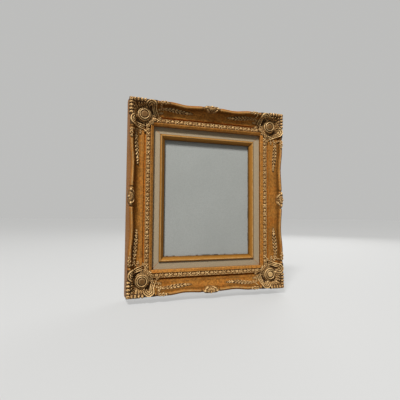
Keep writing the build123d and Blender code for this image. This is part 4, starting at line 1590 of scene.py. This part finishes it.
@cache
def wear_group():
    """Where gilding is rubbed bright on ridges, with painted highlights, and where toning gathers in hollows,
    with painted shade.
    """
    group, given, result = new_group(
        "Gilding Wear and Painted Light",
        {"Place": "NodeSocketVector", "Ridge": "NodeSocketFloat", "Hollow": "NodeSocketFloat",
         "Rub": "NodeSocketFloat", "Dirt": "NodeSocketFloat"},
        ("Rubbed_And_Highlit", "Toned_And_Shaded", "Grain"))
    given = given.outputs
    patch = noise(group, given["Place"], 70, 5, 0.6)
    fleck = noise(group, given["Place"], 270, 4, 0.65)
    blotches = spread(group, patch, 0.3, 0.7, 0.0, 0.7)
    flecks = spread(group, fleck, 0.35, 0.65, 0.0, 0.6)
    # Ridges: rubbed gilding and painted highlights
    ridge = math_of(group, "MULTIPLY", given["Ridge"], math_of(group, "ADD", blotches, flecks))
    # Hollows: toning and painted shade
    gathered = math_of(group, "MULTIPLY", given["Hollow"], spread(group, patch, 0.25, 0.75, 0.7, 1.2))
    dirt = math_of(group, "ADD", gathered, spread(group, fleck, 0.60, 0.74, 0.0, 0.35))
    feed(result, {
        "Rubbed_And_Highlit": math_of(group, "MULTIPLY", ridge, given["Rub"]),
        "Toned_And_Shaded": math_of(group, "MULTIPLY", dirt, given["Dirt"]),
        "Grain": fleck,
    })
    return group


@cache
def wood_group():
    """Grain of bare wood along the first axis: a share of dark rings and a height."""
    group, given, result = new_group("Wood Grain", {"Place": "NodeSocketVector"}, ("Share", "Height"))
    place = given.outputs["Place"]
    rings = noise(group, stretch(group, place, (4, 46, 46)), 3.0, 5, 0.6, 0.8)
    pores = noise(group, stretch(group, place, (30, 900, 900)), 1.0, 3, 0.6)
    dark_rings = spread(group, rings, 0.35, 0.65, 0.0, 0.7)
    dark_pores = spread(group, pores, 0.5, 0.75, 0.0, 0.5)
    feed(result, {"Share": math_of(group, "ADD", dark_rings, dark_pores), "Height": pores})
    return group


@cache
def weave_group():
    """A plain weave on a UV map: a height and a share of uneven yarn."""
    group, given, result = new_group(
        "Weave", {"Place": "NodeSocketVector", "Threads": "NodeSocketFloat"}, ("Height", "Slub"))
    place = given.outputs["Place"]
    scaled = new_node(group, "ShaderNodeVectorMath", operation="SCALE")
    scaled = feed(scaled, {0: place, "Scale": given.outputs["Threads"]})
    parts = coordinates(group, scaled["Vector"])
    waves = [math_of(group, "SINE", math_of(group, "MULTIPLY", parts[axis], math.pi, False), 0, False)
             for axis in ("X", "Y")]
    cross = math_of(group, "MULTIPLY", waves[0], waves[1], False)
    along = noise(group, stretch(group, place, (60, 1400, 1)), 1.0, 3, 0.6)
    over = noise(group, stretch(group, place, (1400, 60, 1)), 1.0, 3, 0.6)
    yarns = [spread(group, yarn, 0.4, 0.7, 0, 0.5) for yarn in (along, over)]
    feed(result, {"Height": spread(group, cross, -1, 1), "Slub": math_of(group, "ADD", *yarns)})
    return group


def finish_colours():
    return bpy.context.scene.frame_finish


@cache
def gilded_moulding():
    """Toned gilding over red bole, brushed along the rail, with painted shade and toning in the hollows,
    painted highlights on the ridges, and bare wood on the back.
    """
    f = finish_colours()
    material, tree, surface = shader("gilded_moulding")
    place = object_place(tree)
    brush = noise(tree, stretch(tree, uv_place(tree), (9, 260, 1)), 3.0, 5, 0.6)
    worn_and_shaded = worn_gilding(tree, 0.65, 0.9)
    cloud = noise(tree, place, 24, 4, 0.55)
    gold = blend(tree, spread(tree, cloud, 0.35, 0.65), f.gold, shade(f.gold, 1.4))
    gold = blend(tree, spread(tree, worn_and_shaded["Grain"], 0.42, 0.58, 0.0, 0.7), gold, shade(f.gold, 0.5))
    gold = blend(tree, spread(tree, brush, 0.42, 0.75, 0.0, 0.5), gold, shade(f.gold, 0.55))
    # Painted highlights and rubbed gilding on the ridges
    gold = blend(tree, worn_and_shaded["Rubbed_And_Highlit"], gold, f.pale_gold)
    patches = spread(tree, noise(tree, place, 45, 4, 0.6), 0.5, 0.68, 0.0, 0.4)
    clay = math_of(tree, "MULTIPLY", mask(tree, "bole"), spread(tree, brush, 0.25, 0.62, 1.1, 0.7))
    clay = math_of(tree, "MAXIMUM", clay, patches)
    earth = blend(tree, spread(tree, worn_and_shaded["Grain"], 0.4, 0.6), shade(f.bole, 1.2), shade(f.bole, 0.72))
    gold = blend(tree, clay, gold, earth)
    gold = blend(tree, mask(tree, "dust"), gold, shade(f.bole, 0.75))
    grit = noise(tree, place, 560, 4, 0.7)
    dust = math_of(tree, "MULTIPLY", mask(tree, "dust"), spread(tree, grit, 0.42, 0.60, 0.75, 0.2))
    gold = blend(tree, dust, gold, shade(f.wash, 2.0))
    # Painted shade and toning in the hollows
    gold = blend(tree, worn_and_shaded["Toned_And_Shaded"], gold, f.toning)
    timber, _ = bare_timber(tree, uv_place(tree), 1.0, 0.6)
    bare = spread(tree, mask(tree, "bare"), 0.4, 0.6)
    plain = math_of(tree, "ADD", math_of(tree, "MULTIPLY", clay, 0.5), bare)
    dull = spread(tree, worn_and_shaded["Grain"], 0.3, 0.7, 0.40, 0.54)
    for share in (worn_and_shaded["Toned_And_Shaded"], bare):
        dull = math_of(tree, "ADD", dull, math_of(tree, "MULTIPLY", share, 0.3))
    height = math_of(tree, "ADD", brush, math_of(tree, "MULTIPLY", worn_and_shaded["Grain"], 0.4))
    feed(surface, {
        "Base Color": blend(tree, bare, gold, timber),
        "Metallic": math_of(tree, "SUBTRACT", 0.12, plain),
        "Specular IOR Level": 0.06,
        "Roughness": dull,
        "Normal": bump(tree, height, 0.35, 0.4 * mm),
    })
    return material


@cache
def gilded_ornament():
    """Gilded casting with a grey-brown wash, painted shade and toning in the hollows, and painted highlights
    and rubbed gilding on the ridges.
    """
    f = finish_colours()
    material, tree, surface = shader("gilded_ornament")
    worn_and_shaded = worn_gilding(tree, 1.2, 1.0)
    cloud = noise(tree, object_place(tree), 60, 4, 0.6)
    gold = blend(tree, spread(tree, cloud, 0.35, 0.65), shade(f.gold, 0.78), shade(f.gold, 1.1))
    gold = blend(tree, spread(tree, cloud, 0.40, 0.7, 0.3, 0.7), gold, f.wash)
    # Painted highlights and rubbed gilding on the ridges
    gold = blend(tree, worn_and_shaded["Rubbed_And_Highlit"], gold, f.pale_gold)
    dull = spread(tree, worn_and_shaded["Grain"], 0.3, 0.7, 0.34, 0.48)
    feed(surface, {
        # Painted shade and toning in the hollows
        "Base Color": blend(tree, worn_and_shaded["Toned_And_Shaded"], gold, f.toning),
        "Metallic": math_of(tree, "SUBTRACT", 0.2, math_of(tree, "MULTIPLY", worn_and_shaded["Toned_And_Shaded"], 0.5)),
        "Specular IOR Level": 0.2,
        "Roughness": math_of(tree, "ADD", dull, math_of(tree, "MULTIPLY", worn_and_shaded["Toned_And_Shaded"], 0.35)),
        "Normal": bump(tree, worn_and_shaded["Grain"], 0.25, 0.3 * mm),
    })
    return material


@cache
def gilt_fillet():
    """Yellower gilding with painted shade on its face towards the picture, a painted highlight on its crest,
    and dark mitre seams.
    """
    f = finish_colours()
    material, tree, surface = shader("gilt_fillet")
    worn_and_shaded = worn_gilding(tree, 0.55, 0.8)
    brush = noise(tree, stretch(tree, uv_place(tree), (30, 420, 1)), 3.0, 5, 0.6)
    gold = blend(tree, spread(tree, brush, 0.4, 0.72, 0.0, 0.6), f.fillet_gold, shade(f.fillet_gold, 0.6))
    # Painted highlights and rubbed gilding on the crest, painted shade and toning in the hollows
    gold = blend(tree, worn_and_shaded["Rubbed_And_Highlit"], gold, f.pale_gold)
    gold = blend(tree, worn_and_shaded["Toned_And_Shaded"], gold, f.toning)
    gold = blend(tree, math_of(tree, "MULTIPLY", mask(tree, "seam"), 0.6), gold, f.toning)
    timber, _ = bare_timber(tree, uv_place(tree), 0.8, 0.5)
    feed(surface, {
        "Base Color": blend(tree, spread(tree, mask(tree, "bare"), 0.4, 0.6), gold, timber),
        "Metallic": 0.2,
        "Specular IOR Level": 0.12,
        "Roughness": spread(tree, worn_and_shaded["Grain"], 0.3, 0.7, 0.36, 0.52),
        "Normal": bump(tree, brush, 0.3, 0.3 * mm),
    })
    return material


@cache
def linen():
    """Plain-woven linen with uneven yarn."""
    f = finish_colours()
    material, tree, surface = shader("linen")
    weave = use_group(tree, weave_group(), place=uv_place(tree), threads=1500.0)
    cloud = noise(tree, object_place(tree), 30, 3, 0.5)
    cloth = blend(tree, spread(tree, weave["Height"], 0.1, 0.9), shade(f.linen, 0.72), shade(f.linen, 1.12))
    cloth = blend(tree, math_of(tree, "MULTIPLY", weave["Slub"], 0.6), cloth, shade(f.linen, 0.78))
    cloth = blend(tree, spread(tree, cloud, 0.3, 0.7, 0.0, 0.25), cloth, shade(f.linen, 0.85))
    feed(surface, {
        "Base Color": blend(tree, math_of(tree, "MULTIPLY", mask(tree, "seam"), 0.9), cloth, f.bole),
        "Roughness": 0.9,
        "Specular IOR Level": 0.2,
        "Normal": bump(tree, weave["Height"], 0.5, 0.25 * mm),
    })
    return material


@cache
def primed_panel():
    """A matt priming coat, a little uneven, with painted shade in the gaps along its lower and right edges,
    broken up by noise.
    """
    f = finish_colours()
    material, tree, surface = shader("primed_panel")
    place = object_place(tree)
    cloud = noise(tree, place, 9, 4, 0.55)
    grit = noise(tree, place, 420, 3, 0.6)
    coat = blend(tree, spread(tree, cloud, 0.3, 0.7), shade(f.panel, 0.97), shade(f.panel, 1.09))
    coat = blend(tree, spread(tree, grit, 0.4, 0.62, 0.0, 0.5), coat, shade(f.panel, 0.85))
    parts = coordinates(tree, place)
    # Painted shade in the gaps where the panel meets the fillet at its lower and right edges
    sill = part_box("fillet_bottom")[1].z
    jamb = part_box("fillet_right")[0].x
    foot = spread(tree, parts["Z"], sill + 0.6 * mm, sill + 1.9 * mm, 1.0, 0.0)
    flank = spread(tree, parts["X"], jamb - 1.3 * mm, jamb)
    gap_shade_breaks = spread(tree, noise(tree, place, 75, 4, 0.6), 0.48, 0.58)
    edges = math_of(tree, "MAXIMUM", foot, math_of(tree, "MULTIPLY", flank, 0.7))
    feed(surface, {
        "Base Color": blend(tree, math_of(tree, "MULTIPLY", edges, gap_shade_breaks), coat, f.toning),
        "Roughness": 0.75,
        "Specular IOR Level": 0.3,
        "Normal": bump(tree, grit, 0.2, 0.2 * mm),
    })
    return material


def softwood(name, upright):
    """Plain softwood, with its grain along a level or an upright rail."""
    material, tree, surface = shader(name)
    turned = feed(new_node(tree, "ShaderNodeMapping"), {
        "Vector": object_place(tree), "Rotation": (0, math.pi / 2 if upright else 0, 0)})
    timber, pores = bare_timber(tree, turned["Vector"], 1.0, 0.6)
    feed(surface, {"Base Color": timber, "Roughness": 0.75, "Normal": bump(tree, pores, 0.3, 0.2 * mm)})
    return material


@cache
def level_wood():
    return softwood("level_wood", False)


@cache
def upright_wood():
    return softwood("upright_wood", True)


@cache
def hardboard():
    """Brown hardboard with fine fibres."""
    f = finish_colours()
    material, tree, surface = shader("backing")
    place = object_place(tree)
    fibre = noise(tree, place, 380, 5, 0.7, 0.6)
    cloud = noise(tree, place, 14, 3, 0.5)
    board = blend(tree, spread(tree, fibre, 0.35, 0.68), shade(f.board, 0.75), shade(f.board, 1.35))
    board = blend(tree, spread(tree, cloud, 0.35, 0.7, 0.0, 0.3), board, shade(f.board, 0.7))
    feed(surface, {"Base Color": board, "Roughness": 0.7, "Normal": bump(tree, fibre, 0.35, 0.2 * mm)})
    return material


def plated_steel(name, crossed):
    """Zinc plating with faint blotches, and where asked a cross recess painted as dark shade on a UV map."""
    f = finish_colours()
    material, tree, surface = shader(name)
    blotch = noise(tree, object_place(tree), 160, 4, 0.6)
    plating = blend(tree, spread(tree, blotch, 0.3, 0.7), shade(f.steel, 0.78), shade(f.steel, 1.08))
    # The cross recess is not modelled: painted shade stands in for it
    if crossed:
        parts = coordinates(tree, uv_place(tree))
        x, y = (math_of(tree, "ABSOLUTE", parts[axis], 0, False) for axis in ("X", "Y"))
        across = math_of(tree, "MAXIMUM", x, y, False)
        narrow = math_of(tree, "MINIMUM", x, y, False)
        cross = math_of(tree, "MULTIPLY", spread(tree, narrow, 0.35 * mm, 0.45 * mm, 1, 0),
                        spread(tree, across, 1.5 * mm, 1.7 * mm, 1, 0))
        plating = blend(tree, cross, plating, shade(f.steel, 0.06))
    dull = spread(tree, blotch, 0.3, 0.7, 0.28, 0.42)
    feed(surface, {"Base Color": plating, "Metallic": 0.9, "Roughness": dull})
    return material


@cache
def steel():
    return plated_steel("steel", False)


@cache
def steel_screw():
    return plated_steel("steel_screw", True)


@cache
def rubber():
    """Dark rubber with a dusty bloom."""
    f = finish_colours()
    material, tree, surface = shader("rubber")
    bloom = noise(tree, object_place(tree), 220, 4, 0.6)
    skin = blend(tree, spread(tree, bloom, 0.4, 0.7, 0.0, 0.6), f.rubber, shade(f.rubber, 2.6))
    feed(surface, {"Base Color": skin, "Roughness": 0.8})
    return material


# Stage

SENSOR_WIDTH = 36
FLOOR_SIZE = 12.0
# Strength of the floor and the world where they are seen, and of the world as light
FLOOR_SEEN = 0.75
WORLD_SEEN = 0.85
WORLD_LIGHT = 0.11
# Lamps: name, place, size in metres and power in watts
LAMPS = (
    ("key", (-1.12, -1.67, 2.50), 0.50, 126),
    ("fill", (-0.7, -1.5, 1.4), 1.5, 5),
    ("back", (1.2, 1.2, 0.9), 1.4, 18),
)


class FRAME_OT_stage(bpy.types.Operator):
    """A pale floor, soft studio light and a camera at the picture's viewing angle"""

    bl_idname = "frame.stage"
    bl_label = "Stage"

    def execute(self, context):
        scene = context.scene
        s = scene.frame_stage
        self.add_camera(scene, s)
        self.add_floor(scene, s)
        for lamp in LAMPS:
            self.add_light(scene, *lamp)
        self.add_world(scene, s)
        scene.view_settings.view_transform = "Standard"
        return {"FINISHED"}

    def add_camera(self, scene, s):
        data = bpy.data.cameras.new("camera")
        data.lens = s.lens
        data.sensor_width = SENSOR_WIDTH
        camera = bpy.data.objects.new("camera", data)
        camera.location = s.camera_at
        camera.rotation_euler = (math.pi / 2 + s.pitch, s.roll, -s.yaw)
        scene.collection.objects.link(camera)
        scene.camera = camera

    def add_floor(self, scene, s):
        z = cad_low.z - s.floor_drop
        corners = [(x * FLOOR_SIZE, y * FLOOR_SIZE, z) for x, y in ((-1, -1), (1, -1), (1, 1), (-1, 1))]
        mesh = bpy.data.meshes.new("floor")
        mesh.from_pydata(corners, [], [(0, 1, 2, 3)])
        floor = bpy.data.objects.new("floor", mesh)
        scene.collection.objects.link(floor)
        material, tree, surface = shader("floor")
        feed(surface, {
            "Base Color": (*shade(s.floor, 0.3), 1),
            "Emission Color": (*s.floor, 1),
            "Emission Strength": spread(tree, self.seen(tree), 0, 1, 0.0, FLOOR_SEEN),
            "Roughness": 0.85,
        })
        mesh.materials.append(material)

    def seen(self, tree):
        """1 where a surface is looked at, straight or in a mirror or glass, and 0 where it only lights."""
        path = new_node(tree, "ShaderNodeLightPath")
        seen = math_of(tree, "MAXIMUM", path.outputs["Is Camera Ray"], path.outputs["Is Glossy Ray"])
        return math_of(tree, "MAXIMUM", seen, path.outputs["Is Transmission Ray"])

    def add_light(self, scene, name, at, size, power):
        """A disc lamp that faces the middle of the frame."""
        data = bpy.data.lights.new(name, "AREA")
        data.shape = "DISK"
        data.size = size
        data.energy = power
        lamp = bpy.data.objects.new(name, data)
        lamp.location = at
        reach = math.sqrt(sum(c * c for c in at))
        lamp.rotation_euler = (math.acos(at[2] / reach), 0, math.atan2(at[1], at[0]) + math.pi / 2)
        scene.collection.objects.link(lamp)

    def add_world(self, scene, s):
        """A pale world that looks brighter to the camera and in reflections than it lights."""
        world = bpy.data.worlds.new("world")
        world.use_nodes = True
        tree = world.node_tree
        strength = spread(tree, self.seen(tree), 0, 1, WORLD_LIGHT, WORLD_SEEN)
        feed(tree.nodes["Background"], {"Color": (*s.floor, 1), "Strength": strength})
        scene.world = world


class FRAME_PT_panel(bpy.types.Panel):
    """Lists the pieces and the settings that they use"""

    bl_idname = "FRAME_PT_panel"
    bl_label = "Gilded Frame"
    bl_space_type = "VIEW_3D"
    bl_region_type = "UI"
    bl_category = "Frame"

    def draw(self, context):
        for operator in OPERATORS:
            self.layout.operator(operator.bl_idname)
        for key, group in GROUPS.items():
            box = self.layout.box()
            box.label(text=group.__doc__)
            for name in group.__annotations__:
                box.prop(getattr(context.scene, key), name)


GROUPS = {
    "frame_moulding": FrameMoulding,
    "frame_ornament": FrameOrnament,
    "frame_fillet": FrameFillet,
    "frame_hardware": FrameHardware,
    "frame_finish": FrameFinish,
    "frame_stage": FrameStage,
}
OPERATORS = (
    FRAME_OT_rails,
    FRAME_OT_corner_ornaments,
    FRAME_OT_centre_ornaments,
    FRAME_OT_leaf_sprays,
    FRAME_OT_running_ornaments,
    FRAME_OT_liner,
    FRAME_OT_fillet,
    FRAME_OT_panel,
    FRAME_OT_turn_buttons,
    FRAME_OT_hangers,
    FRAME_OT_bumpers_and_nails,
    FRAME_OT_stage,
)


def register():
    for group in GROUPS.values():
        bpy.utils.register_class(group)
    for key, group in GROUPS.items():
        setattr(bpy.types.Scene, key, bpy.props.PointerProperty(type=group))
    for operator in OPERATORS:
        bpy.utils.register_class(operator)
    bpy.utils.register_class(FRAME_PT_panel)


def unregister():
    bpy.utils.unregister_class(FRAME_PT_panel)
    for operator in reversed(OPERATORS):
        bpy.utils.unregister_class(operator)
    for key in GROUPS:
        delattr(bpy.types.Scene, key)
    for group in reversed(GROUPS.values()):
        bpy.utils.unregister_class(group)


def main():
    register()
    for operator in OPERATORS:
        category, name = operator.bl_idname.split(".")
        getattr(getattr(bpy.ops, category), name)()


if __name__ == "__main__":
    main()
